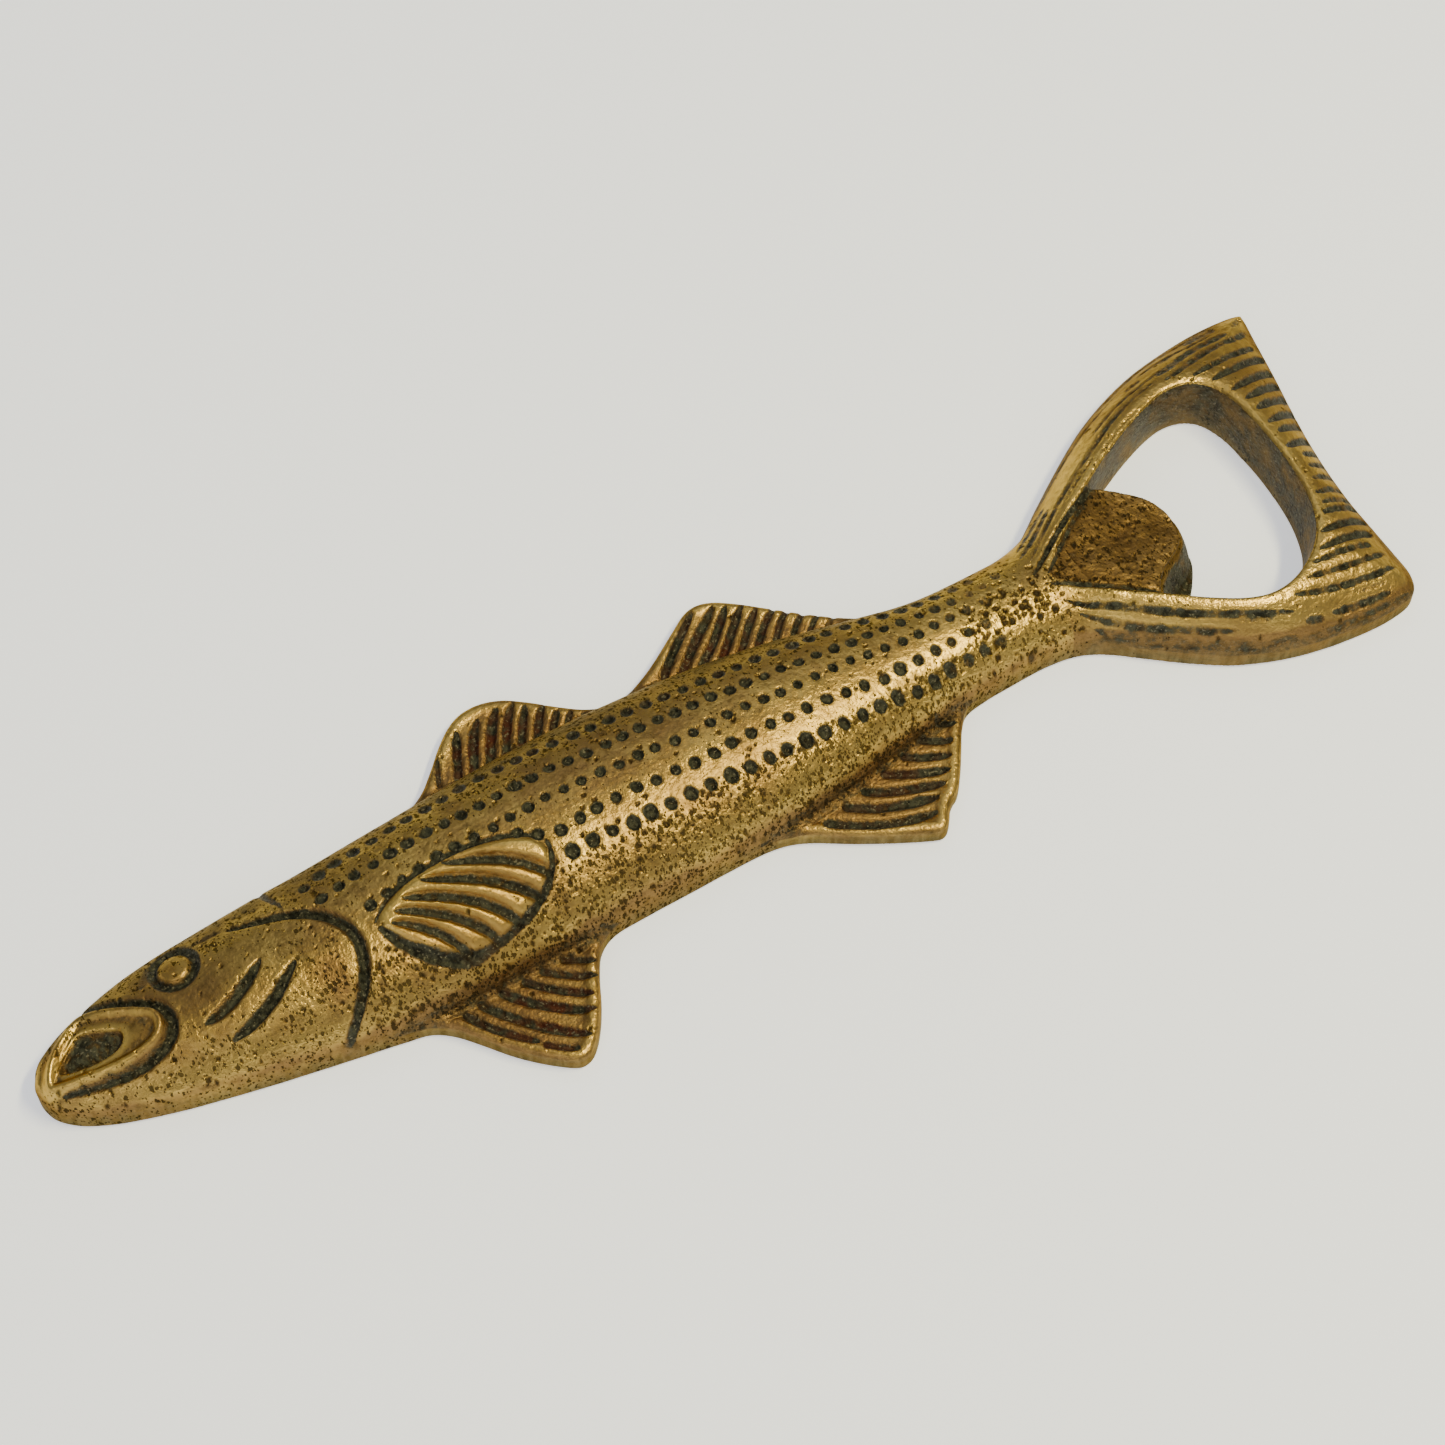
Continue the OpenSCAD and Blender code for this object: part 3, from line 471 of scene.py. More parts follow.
# ---- rows of dimples
dim = np.zeros_like(X)
for pts, rad, pitch in ROWS:
    P = crom(pts, 8)
    S = np.concatenate([[0], np.cumsum(np.hypot(*np.diff(P, axis=0).T))])
    n = int(S[-1] / pitch) + 1
    for s in np.linspace(0, S[-1], n):
        s = s + RNG.uniform(-0.16, 0.16)
        cx = np.interp(s, S, P[:, 0])
        cy = np.interp(s, S, P[:, 1]) + RNG.uniform(-0.14, 0.14)
        r = rad * RNG.uniform(0.86, 1.1) * (1 - 0.12 * sstep(26, 34, cx))
        e, a = RNG.uniform(0.86, 1.0), RNG.uniform(0, math.pi)
        q = f.win(cx - 2.2, cx + 2.2, cy - 2.2, cy + 2.2)
        dx, dy = X[q] - cx, Y[q] - cy
        d = np.hypot(dx * math.cos(a) + dy * math.sin(a),
                     (dy * math.cos(a) - dx * math.sin(a)) / e)
        fade = 1 - 0.55 * sstep(24, 40, cx)
        dim[q] = np.maximum(dim[q], 0.62 * fade * (1 - sstep(0.45 * r, 1.12 * r, d)))
        cav[q] = np.maximum(cav[q], (1 - 0.4 * sstep(26, 40, cx))
                            * (1 - sstep(0.8 * r, 1.28 * r, d)))
cut = smax(cut, dim, 0.08)

# ---- where the cast skin is rough, with pits big enough to model
flank = sstep(-0.42, -0.62, (Y - mid) / half) * sstep(-64, -56, X) * (1 - sstep(28, 36, X))
throat = sstep(-0.35, -0.7, (Y - mid) / half) * (X < -66)
wrist = sstep(30, 35, X) * (1 - sstep(47, 50, X)) * sstep(4, -1, Y)
back = 0.5 * sstep(0.1, 0.6, (Y - mid) / half) * (X < 44)
neck = 0.45 * gap(f, -63, -6, 4, 7)
tongue = (sV < 0) * sstep(46, 50, X) * 1.0
pitmap = np.clip(0.85 * flank + 0.42 * throat + 0.5 * wrist + back + neck
                 + 0.3 * tongue + 0.24, 0, 1)
pitmap = pitmap * (beyond < 0.5) * (0.25 + 0.75 * sstep(-0.8, 0.6, sLeaf)) + 0.12 * (beyond >= 0.5)
pits = np.zeros_like(X)
pitdark = np.zeros_like(X)
N = 7000
px, py = RNG.uniform(-99, 99, N), RNG.uniform(-28, 28, N)
pr, pd = RNG.uniform(0.10, 0.30, N), RNG.uniform(0.06, 0.24, N)
keep = RNG.uniform(0, 1, N) < f.sample(pitmap, px, py)**1.3
for x, y, r, dd in zip(px[keep], py[keep], pr[keep], pd[keep]):
    q = f.win(x - 0.8, x + 0.8, y - 0.8, y + 0.8)
    d = np.hypot(X[q] - x, Y[q] - y)
    pits[q] = np.maximum(pits[q], dd * (1 - sstep(0.2 * r, 1.3 * r, d)))
    pitdark[q] = np.maximum(pitdark[q], (1 - sstep(0.6 * r, 1.3 * r, d)))

# halo: darker metal round the grooves and dimples, round the eye and along the lower arm's outer edge, plus the
# painted shadow and painted shade added below
halo_and_shade = np.clip(blur(np.minimum(cut, 0.8), 1.3, f.h) / 0.42, 0, 1)
halo_and_shade = np.maximum(halo_and_shade, 0.8 * gap(f, -80.5, 3.2, 5.2, 3.6))
# painted shadow at the pelvic fin root
halo_and_shade = np.maximum(halo_and_shade, 0.8 * gap(f, -60.5, -10, 5, 4.5))
# painted shade dulling the lip's upper left at the snout
halo_and_shade = np.maximum(halo_and_shade, 0.9 * gap(f, -96.2, 1.2, 2.4, 2))
halo_and_shade = np.maximum(halo_and_shade, 0.8 * sstep(3.4, 0.8, -sO) * (X > 47) * (X < 93) * (Y < 2))
# painted shade along the dorsal side of the body
halo_and_shade = np.maximum(halo_and_shade, 0.55 * sstep(0.45, 0.8, (Y - mid) / half) * (X < 46) * (beyond < 1))
for x, y, r in zip(RNG.uniform(33, 47, 46), RNG.uniform(-7.4, 1.5, 46), RNG.uniform(0.22, 0.48, 46)):
    q = f.win(x - 1.2, x + 1.2, y - 1.2, y + 1.2)
    d = np.hypot(X[q] - x, Y[q] - y)
    pits[q] = np.maximum(pits[q], 0.35 * (1 - sstep(0.2 * r, 1.3 * r, d)))
    pitdark[q] = np.maximum(pitdark[q], (1 - sstep(0.5 * r, 1.2 * r, d)))
n_big = noise(RNG, f, 7.0)
n_mid = noise(RNG, f, 2.2)
n_fin = noise(RNG, f, 0.75)
rough = 0.35 + 0.65 * pitmap
H = H - cut - pits * (cut < 0.3) + 0.07 * n_big + 0.035 * n_mid * rough + 0.022 * n_fin * rough
H = H + tongue * (0.10 * n_mid + 0.06 * n_fin) * (sV < -0.5)
H = np.maximum(H, 1.2)

wear = H - blur(H, 0.8, f.h)
wear = np.clip(wear / 0.22, -1, 1)
broad = np.clip((H - blur(H, 2.4, f.h)) / 0.5, -1, 1)
gx, gy = np.gradient(H, f.h)
slope = np.sqrt(1 + np.minimum(gx**2 + gy**2, 9))
S2 = np.maximum(sO, np.minimum(-sV, sT))
S2 = S2 + 0.03 * n_mid


def F(x, y, z):
    """Below zero inside the casting."""
    top = (z - f.sample(H, x, y)) / f.sample(slope, x, y)
    side = f.sample(S2, x, y) + 0.018 * (z - 3)
    return smax(smax(top, side, 0.7), -z, 0.6)


def grad(x, y, z, e=0.07):
    g = np.stack([F(x + e, y, z) - F(x - e, y, z), F(x, y + e, z) - F(x, y - e, z),
                  F(x, y, z + e) - F(x, y, z - e)], -1) / (2 * e)
    return g


# ---------------------------------------------------- pieces of the casting
PIECES = ["fish_head", "fish_mouth_rim", "fish_eye", "fish_trunk",
          "pectoral_fin_relief", "front_dorsal_fin_plate",
          "rear_dorsal_fin_plate", "pelvic_fin_plate", "anal_fin_plate",
          "forked_tail_ring", "crown_cap_tongue"]
NODES = ["head", "mouth_lip", "eye", "body", "pectoral_fin",
         "first_dorsal_fin", "second_dorsal_fin", "pelvic_fin", "anal_fin",
         "tail_loop", "cap_lifter"]
SLOTS = ["cast_brass", "polished_brass", "polished_brass", "cast_brass",
         "polished_brass", "cast_brass", "cast_brass", "cast_brass",
         "cast_brass", "cast_brass", "rough_brass"]

h = STEP
lx = np.arange(-100.8, 100.9, h)
ly = np.arange(-30.4, 30.4, h)
lz = (np.arange(0, int(14.2 / h)) - 0.5) * h
GX, GY = np.meshgrid(lx, ly, indexing="ij")
sm = f.sample(H, GX, GY), f.sample(slope, GX, GY), f.sample(S2, GX, GY)
Z = lz[None, None, :]
V = smax(smax((Z - sm[0][..., None]) / sm[1][..., None],
              sm[2][..., None] + 0.018 * (Z - 3), 0.7), -Z + 0 * sm[0][..., None], 0.6)
V = V.astype(np.float32)

lb, ld = (herm(FORM, lx, c)[:, None] for c in (1, 2))
lmid, lhalf = (lb + ld) / 2, (ld - lb) / 2
out = np.abs(GY - lmid) - lhalf
uu = np.clip((GY - lmid) / lhalf, -1, 1)
plan = np.full(GX.shape, 4, np.uint8)
plan[(out > 0) & (GY > 0) & (GX > -42.4) & (GX < -10.4)] = 6
plan[(out > 0) & (GY > 0) & (GX > -10.4) & (GX < 26.6)] = 7
plan[(out > 0) & (GY < 0) & (GX > -56.4) & (GX < -28)] = 8
plan[(out > 0) & (GY < 0) & (GX > -3.8) & (GX < 29)] = 9
plan[GX < -65.5 + 7 * (1 - uu**2)] = 1
plan[GX > 46] = 10
plan[(GX > 46) & (f.sample(sV, GX, GY) < 0) & (f.sample(sT, GX, GY) < 0.4)] = 11
lab = np.repeat(plan[..., None], len(lz), 2)
gl, gm = f.sample(sLip, GX, GY), f.sample(sMouth, GX, GY)
lip2 = (gl < -0.02) & (gm > 0.1)
lab[lip2[..., None] & (Z > 4.2)] = 2
eye2 = np.hypot(GX - EYE[0], (GY - EYE[1]) / 1.08) < 2.3
lab[eye2[..., None] & (Z > 6.4)] = 3
leaf2 = f.sample(sLeaf, GX, GY) < 0
lab[leaf2[..., None] & (Z > 7)] = 5
lab[V > 0] = 0

# no two pieces of a label may touch only along a lattice diagonal
for _ in range(12):
    found = 0
    for axes in ((0, 1), (0, 2), (1, 2)):
        s = [[slice(None)] * 3 for _ in range(4)]
        for n, (a, b) in enumerate(((0, 0), (0, 1), (1, 0), (1, 1))):
            s[n][axes[0]] = slice(1, None) if a else slice(0, -1)
            s[n][axes[1]] = slice(1, None) if b else slice(0, -1)
        v00, v01, v10, v11 = (lab[tuple(q)] for q in s)
        m = (v00 == v11) & (v00 > 0) & (v01 != v00) & (v10 != v00)
        found += int(m.sum())
        v01[m] = v00[m]
        m = (v01 == v10) & (v01 > 0) & (v00 != v01) & (v11 != v01)
        found += int(m.sum())
        v00[m] = v01[m]
    if not found:
        break

nx, ny, nz = lab.shape
cells = np.zeros((nx - 1, ny - 1, nz - 1), bool)
base = lab[:-1, :-1, :-1]
for a in (0, 1):
    for b in (0, 1):
        for c in (0, 1):
            cells |= lab[a:nx - 1 + a, b:ny - 1 + b, c:nz - 1 + c] != base
ci, cj, ck = np.nonzero(cells)
index = np.full(cells.shape, -1, np.int32)
index[ci, cj, ck] = np.arange(len(ci))
nv = len(ci)
acc = np.zeros((nv, 3))
num = np.zeros(nv)
airy = np.zeros(nv, bool)
acc_in = np.zeros((nv, 3))
num_in = np.zeros(nv)
C8 = [(a, b, c) for a in (0, 1) for b in (0, 1) for c in (0, 1)]
for p in C8:
    for ax in range(3):
        if p[ax]:
            continue
        q = list(p)
        q[ax] = 1
        la = lab[ci + p[0], cj + p[1], ck + p[2]]
        lc = lab[ci + q[0], cj + q[1], ck + q[2]]
        va = V[ci + p[0], cj + p[1], ck + p[2]].astype(float)
        vc = V[ci + q[0], cj + q[1], ck + q[2]].astype(float)
        diff = la != lc
        air = diff & ((la == 0) | (lc == 0))
        t = np.where(air, va / (va - vc + (va == vc) * 1e-9), 0.5)
        pos = np.tile(np.array(p, float), (nv, 1))
        pos[:, ax] += np.clip(t, 0, 1)
        acc[air] += pos[air]
        num[air] += 1
        airy |= air
        inn = diff & ~air
        acc_in[inn] += pos[inn]
        num_in[inn] += 1
corner = np.stack([lx[ci], ly[cj], lz[ck]], -1)
loc = np.where(airy[:, None], acc / np.maximum(num, 1)[:, None],
               acc_in / np.maximum(num_in, 1)[:, None])
P = corner + loc * h

quads, qa, qb = [], [], []
for ax in range(3):
    s0 = [slice(None)] * 3
    s1 = [slice(None)] * 3
    s0[ax], s1[ax] = slice(0, -1), slice(1, None)
    la, lc = lab[tuple(s0)], lab[tuple(s1)]
    i, j, k = np.nonzero(la != lc)
    n = (i, j, k)
    o1, o2 = [(1, 2), (2, 0), (0, 1)][ax]
    ok = (n[o1] > 0) & (n[o2] > 0)
    ok &= (n[o1] < lab.shape[o1] - 1) & (n[o2] < lab.shape[o2] - 1)
    i, j, k = i[ok], j[ok], k[ok]
    ids = []
    for d1, d2 in ((-1, -1), (0, -1), (0, 0), (-1, 0)):
        c = [i, j, k]
        c[o1] = c[o1] + d1
        c[o2] = c[o2] + d2
        ids.append(index[c[0], c[1], c[2]])
    quads.append(np.stack(ids, -1))
    qa.append(la[i, j, k])
    qb.append(lc[i, j, k])
quads = np.vstack(quads)
qa, qb = np.concatenate(qa), np.concatenate(qb)
inner = (qa > 0) & (qb > 0)


def project(P, m, times):
    for _ in range(times):
        x, y, z = P[m].T
        v = F(x, y, z)
        g = grad(x, y, z)
        st = v / np.maximum((g**2).sum(1), 0.25)
        P[m] -= np.clip(st, -0.6 * h, 0.6 * h)[:, None] * g


def relax(P, faces, m, amount):
    """Moves the marked points towards the mean of their neighbours."""
    s = np.zeros_like(P)
    c = np.zeros(len(P))
    for a, b in ((0, 1), (1, 2), (2, 3), (3, 0)):
        for v, w in ((a, b), (b, a)):
            for d in range(3):
                s[:, d] += np.bincount(faces[:, v], P[faces[:, w], d], len(P))
            c += np.bincount(faces[:, v], minlength=len(P))
    ok = m & (c > 0)
    P[ok] += amount * (s[ok] / c[ok, None] - P[ok])


project(P, airy, 2)
skin = quads[~inner]
relax(P, skin, airy, 0.35)
project(P, airy, 2)
seams = np.zeros(nv, bool)
seams[quads[inner]] = True
for _ in range(6):
    relax(P, quads[inner], seams & ~airy, 0.6)

x, y, z = P.T
NRM = grad(x, y, z)
NRM /= np.linalg.norm(NRM, axis=1)[:, None] + 1e-12
flat = (np.abs(z) < 0.12) & (NRM[:, 2] < -0.7)
P[flat, 2] = 0
face_up = sstep(0.05, 0.45, NRM[:, 2])
a_cav_and_shade = f.sample(cav, x, y) * face_up
a_cav_and_shade = np.maximum(a_cav_and_shade, 0.9 * face_up * (1 - sstep(-0.9, 0.5, f.sample(sMouth, x, y))))
# painted shade on the cap lifter's bevelled tip wall: added to the patina mask and taken off the rubbed lightening
tip_wall_shade = sstep(0.0, 0.9, f.sample(sTop, x, y)) * (f.sample(sV, x, y) < -0.3) * (x > 57)
a_cav_and_shade = np.maximum(a_cav_and_shade, 0.85 * tip_wall_shade)
a_wear = f.sample(wear, x, y) * face_up * (1 - 0.8 * tip_wall_shade)
a_pit = f.sample(pitdark, x, y) * face_up
a_map = f.sample(pitmap, x, y)
a_side = 1 - sstep(0.1, 0.55, NRM[:, 2])
hole = sstep(2.2, 0.6, f.sample(sV, x, y)) * (x > 47)
a_hole = a_side * hole
red = np.clip(gap(f, -40, -22, 9, 8) + gap(f, -28, 17, 9, 5) + 0.7 * gap(f, 6, 16, 10, 6)
              + 0.6 * gap(f, 14, -14, 10, 5) + 0.4 * gap(f, -5, 12, 45, 4), 0, 1)
a_red = f.sample(red, x, y)
a_low = sstep(4.6, 0.4, z) * np.clip(a_side * 1.4, 0, 1)
a_back = sstep(-0.5, -0.8, NRM[:, 2])
a_tongue = f.sample(1.0 * tongue, x, y) * face_up
a_broad = f.sample(broad, x, y) * face_up
# painted shade: mask of the body's dorsal side, darkened in the material
a_dorsal_shade = f.sample(sstep(0.35, 0.85, (Y - mid) / half) * (beyond < 0.4) * (1 - sstep(30, 44, X)) * 1.0, x, y)
a_rib = np.maximum(sstep(0.4, -0.6, f.sample(sLeaf, x, y)), sstep(0.2, 1.2, f.sample(beyond, x, y)) * (x < 40))
DATA = {"skin_a": np.stack([a_cav_and_shade, a_wear, a_pit], -1),
        "skin_b": np.stack([a_side, a_hole, a_red], -1),
        "skin_c": np.stack([a_low, a_tongue, a_map], -1),
        "skin_d": np.stack([a_back, a_broad, f.sample(halo_and_shade, x, y)], -1),
        "skin_e": np.stack([a_dorsal_shade, a_rib, 0 * x], -1)}


def build(label, name):
    fa, fb = quads[qa == label], quads[qb == label][:, ::-1]
    Q = np.vstack([fa, fb])
    inn = np.concatenate([inner[qa == label], inner[qb == label]])
    used, Q = np.unique(Q, return_inverse=True)
    Q = Q.reshape(-1, 4)
    me = bpy.data.meshes.new(name)
    me.vertices.add(len(used))
    me.vertices.foreach_set("co", (P[used] / 1000).astype(np.float32).ravel())
    me.loops.add(Q.size)
    me.loops.foreach_set("vertex_index", Q.ravel().astype(np.int32))
    me.polygons.add(len(Q))
    me.polygons.foreach_set("loop_start", np.arange(0, Q.size, 4, dtype=np.int32))
    me.polygons.foreach_set("use_smooth", np.ones(len(Q), bool))
    for key, val in DATA.items():
        at = me.attributes.new(key, "FLOAT_VECTOR", "POINT")
        at.data.foreach_set("vector", val[used].astype(np.float32).ravel())
    me.update(calc_edges=True)
    pu = P[used]
    d1, d2 = pu[Q[:, 2]] - pu[Q[:, 0]], pu[Q[:, 3]] - pu[Q[:, 1]]
    fn = np.cross(d1, d2)
    fn /= np.linalg.norm(fn, axis=1)[:, None] + 1e-12
    ln = NRM[used][Q]
    ln[inn] = fn[inn][:, None, :]
    me.normals_split_custom_set(ln.reshape(-1, 3).astype(np.float32))
    ob = bpy.data.objects.new(name, me)
    bpy.context.scene.collection.objects.link(ob)
    return ob


# ------------------------------------------------------------------ material
class Net:
    """Short hand for building a node tree."""

    def __init__(s, mat):
        s.t = mat.node_tree
        s.t.nodes.clear()

    def add(s, kind, **kw):
        n = s.t.nodes.new(kind)
        for k, v in kw.items():
            setattr(n, k, v)
        return n

    def put(s, sock, val):
        if isinstance(val, bpy.types.NodeSocket):
            s.t.links.new(val, sock)
        else:
            sock.default_value = val

    def math(s, op, a, b=0.0, c=0.0, clamp=False):
        n = s.add("ShaderNodeMath", operation=op, use_clamp=clamp)
        for i, v in enumerate((a, b, c)):
            s.put(n.inputs[i], v)
        return n.outputs[0]

    def ramp(s, v, lo, hi, a=0.0, b=1.0):
        n = s.add("ShaderNodeMapRange", interpolation_type="SMOOTHSTEP")
        for i, q in enumerate((v, lo, hi, a, b)):
            s.put(n.inputs[i], q)
        return n.outputs[0]

    def mix(s, fac, a, b):
        n = s.add("ShaderNodeMix", data_type="RGBA")
        s.put(n.inputs[0], fac)
        s.put(n.inputs[6], a)
        s.put(n.inputs[7], b)
        return n.outputs[2]

    def noise(s, co, scale, detail=3.0, rough=0.55):
        n = s.add("ShaderNodeTexNoise", noise_dimensions="3D")
        s.put(n.inputs["Vector"], co)
        s.put(n.inputs["Scale"], scale)
        s.put(n.inputs["Detail"], detail)
        s.put(n.inputs["Roughness"], rough)
        return n.outputs[0]

    def pores(s, co, scale, few, size):
        """Separate irregular specks, more of them where few is low."""
        w = s.add("ShaderNodeTexNoise", noise_dimensions="3D")
        s.put(w.inputs["Vector"], co)
        s.put(w.inputs["Scale"], scale * 1.7)
        m = s.add("ShaderNodeVectorMath", operation="MULTIPLY_ADD")
        s.put(m.inputs[0], w.outputs["Color"])
        s.put(m.inputs[1], (0.9 / scale, 0.9 / scale, 0.9 / scale))
        s.put(m.inputs[2], co)
        k = s.add("ShaderNodeMapping")
        s.put(k.inputs["Vector"], m.outputs[0])
        s.put(k.inputs["Scale"], (1.25, 0.8, 0.8))
        v = s.add("ShaderNodeTexVoronoi", feature="F1")
        s.put(v.inputs["Vector"], k.outputs[0])
        s.put(v.inputs["Scale"], scale)
        x = s.add("ShaderNodeSeparateXYZ")
        s.put(x.inputs[0], v.outputs["Color"])
        r = s.math("MULTIPLY", s.math("SUBTRACT", x.outputs[0], few), size)
        r = s.math("MINIMUM", r, 0.42)
        return s.ramp(s.math("SUBTRACT", r, v.outputs["Distance"]), -0.05, 0.05)

    def parts(s, name):
        n = s.add("ShaderNodeAttribute", attribute_name=name)
        m = s.add("ShaderNodeSeparateXYZ")
        s.put(m.inputs[0], n.outputs["Vector"])
        return m.outputs

    def bump(s, height, dist, strength, normal=None):
        n = s.add("ShaderNodeBump")
        s.put(n.inputs["Strength"], strength)
        s.put(n.inputs["Distance"], dist)
        s.put(n.inputs["Height"], height)
        if normal is not None:
            s.put(n.inputs["Normal"], normal)
        return n.outputs[0]


def rgb(r, g, b):
    return (r, g, b, 1.0)


def brass(name, gold, brown, shine, dull, grit):
    mat = bpy.data.materials.new(name)
    mat.use_nodes = True
    N = Net(mat)
    M = N.math
    co = N.add("ShaderNodeTexCoord").outputs["Object"]
    cavity_and_shade, edge, pit = N.parts("skin_a")
    side, hole, red = N.parts("skin_b")
    low, tongue, rough_map = N.parts("skin_c")
    under, broad, halo_and_shade = N.parts("skin_d")
    big = N.noise(co, 55.0, 3.0)
    mid = N.noise(co, 260.0, 4.0, 0.6)
    fine = N.noise(co, 1100.0, 3.0, 0.6)
    grain = N.noise(co, 2600.0, 2.0, 0.6)

    dorsal_shade, rib, _ = N.parts("skin_e")
    # specks of patina held in the separate fine pores of the cast skin
    dots = N.noise(co, 1900.0, 2.0, 0.5)
    drift = M("MULTIPLY", M("SUBTRACT", mid, 0.5), 0.7)
    few = M("SUBTRACT", 0.93, M("MULTIPLY", rough_map, 0.72))
    few = M("SUBTRACT", M("ADD", few, M("MULTIPLY", rib, 0.08)), drift)
    speck = M("MAXIMUM", N.pores(co, 1250.0, few, 0.95), N.pores(co, 2500.0, M("SUBTRACT", few, 0.04), 0.95))
    pore = M("MAXIMUM", M("MULTIPLY", speck, 0.92), M("MULTIPLY", pit, 0.95))
    skin_bump = M("ADD", M("MULTIPLY", dots, 0.6), M("MULTIPLY", mid, 0.4))

    # metal colour: gold where it is rubbed, browner elsewhere, and darker in the halo, which holds darkening round the
    # grooves as well as painted shade
    tone = M("ADD", M("MULTIPLY", N.ramp(big, 0.32, 0.68), 0.5),
             M("MULTIPLY", N.ramp(mid, 0.35, 0.7), 0.4))
    tone = M("ADD", tone, M("MULTIPLY", broad, 0.35))
    tone = M("ADD", tone, M("MULTIPLY", edge, 0.45))
    tone = M("SUBTRACT", tone, M("MULTIPLY", rough_map, 0.25))
    tone = M("SUBTRACT", tone, M("MULTIPLY", halo_and_shade, M("ADD", 0.5, M("MULTIPLY", mid, 0.8))), clamp=True)
    metal = N.mix(tone, brown, gold)
    mottle = N.ramp(N.noise(co, 480.0, 5.0, 0.62), 0.46, 0.70)
    mottle = M("MULTIPLY", mottle, M("SUBTRACT", 0.55, M("MULTIPLY", edge, 0.5), clamp=True))
    metal = N.mix(mottle, metal, rgb(0.075, 0.050, 0.020))
    fleck = M("MULTIPLY", N.ramp(fine, 0.50, 0.66), M("SUBTRACT", 0.42, M("MULTIPLY", edge, 0.5), clamp=True))
    metal = N.mix(fleck, metal, rgb(0.10, 0.060, 0.018))
    # painted shade on the dorsal side, mottled by noise
    dorsal_shade_mix = M("MULTIPLY", dorsal_shade, N.ramp(mid, 0.25, 0.7, 0.9, 0.5))
    metal = N.mix(dorsal_shade_mix, metal, rgb(0.085, 0.076, 0.050))

    # patina: green-black in the hollows, red-brown round the fins; the same dark also paints shade on the cap lifter's
    # tip wall
    stain_and_shade = M("ADD", cavity_and_shade, M("MULTIPLY", M("SUBTRACT", mid, 0.5), 0.9))
    stain_and_shade = M("ADD", stain_and_shade, M("MULTIPLY", M("SUBTRACT", fine, 0.5), 0.8))
    stain_and_shade = N.ramp(stain_and_shade, 0.28, 0.95)
    cup = M("SUBTRACT", M("MULTIPLY", edge, -1.0), 0.15, clamp=True)
    film = M("MULTIPLY", N.ramp(cup, 0.0, 0.5), 0.55)
    stain_and_shade = M("MAXIMUM", stain_and_shade, M("MULTIPLY", film, N.ramp(fine, 0.35, 0.65, 0.45, 1.0)))
    upper = N.ramp(M("MULTIPLY", hole, M("SUBTRACT", 1.0, M("MULTIPLY", low, 0.45))), 0.3, 0.8)
    stain_and_shade = M("MAXIMUM", stain_and_shade, M("MULTIPLY", upper, N.ramp(mid, 0.3, 0.6, 0.45, 0.95)))
    redness = M("MULTIPLY", red, N.ramp(N.noise(co, 420.0, 2.0), 0.38, 0.62))
    dark = N.mix(N.ramp(fine, 0.35, 0.65), rgb(0.008, 0.010, 0.008), rgb(0.046, 0.049, 0.036))
    dark = N.mix(redness, dark, rgb(0.055, 0.014, 0.008))
    # painted glints: lighter flecks in the dark patina
    glint = N.ramp(N.noise(co, 2300.0, 1.0), 0.60, 0.70)
    dark = N.mix(M("MULTIPLY", glint, 0.7), dark, rgb(0.15, 0.14, 0.10))
    rust = M("MULTIPLY", M("MULTIPLY", red, N.ramp(mid, 0.45, 0.7)), 0.35)
    metal = N.mix(rust, metal, rgb(0.22, 0.085, 0.03))

    # lower walls and back are filed and a little grey
    streak = N.add("ShaderNodeMapping")
    N.put(streak.inputs["Vector"], co)
    N.put(streak.inputs["Scale"], (1.0, 1.0, 0.12))
    lines = N.noise(streak.outputs[0], 1500.0, 2.0)
    low = M("MULTIPLY", low, M("SUBTRACT", 1.0, M("MULTIPLY", hole, 0.5)))
    ground = N.mix(N.ramp(lines, 0.35, 0.65), rgb(0.070, 0.062, 0.035), rgb(0.145, 0.122, 0.066))
    flat_lines = N.add("ShaderNodeMapping")
    N.put(flat_lines.inputs["Vector"], co)
    N.put(flat_lines.inputs["Rotation"], (0.0, 0.0, 0.5))
    N.put(flat_lines.inputs["Scale"], (0.08, 1.0, 1.0))
    rubs = N.noise(flat_lines.outputs[0], 1900.0, 3.0)
    sole = N.mix(N.ramp(M("ADD", M("MULTIPLY", rubs, 0.6), M("MULTIPLY", big, 0.4)), 0.35, 0.65),
                 rgb(0.24, 0.17, 0.075), rgb(0.56, 0.43, 0.20))
    metal = N.mix(M("MULTIPLY", low, N.ramp(mid, 0.3, 0.6, 0.5, 0.92)), metal, ground)
    metal = N.mix(under, metal, sole)
    metal = N.mix(M("MULTIPLY", pore, 0.88), metal, rgb(0.020, 0.016, 0.008))
    colour = N.mix(stain_and_shade, metal, dark)

    rough = M("ADD", shine, M("MULTIPLY", M("SUBTRACT", 1.0, tone), dull - shine))
    rough = M("ADD", rough, M("MULTIPLY", M("SUBTRACT", fine, 0.5), 0.16))
    rough = M("ADD", rough, M("MULTIPLY", halo_and_shade, 0.08))
    rough = M("ADD", rough, M("MULTIPLY", M("MAXIMUM", M("MULTIPLY", stain_and_shade, 0.5), pore), 0.25), clamp=True)
    rough = M("MAXIMUM", rough, M("MULTIPLY", under, 0.5))

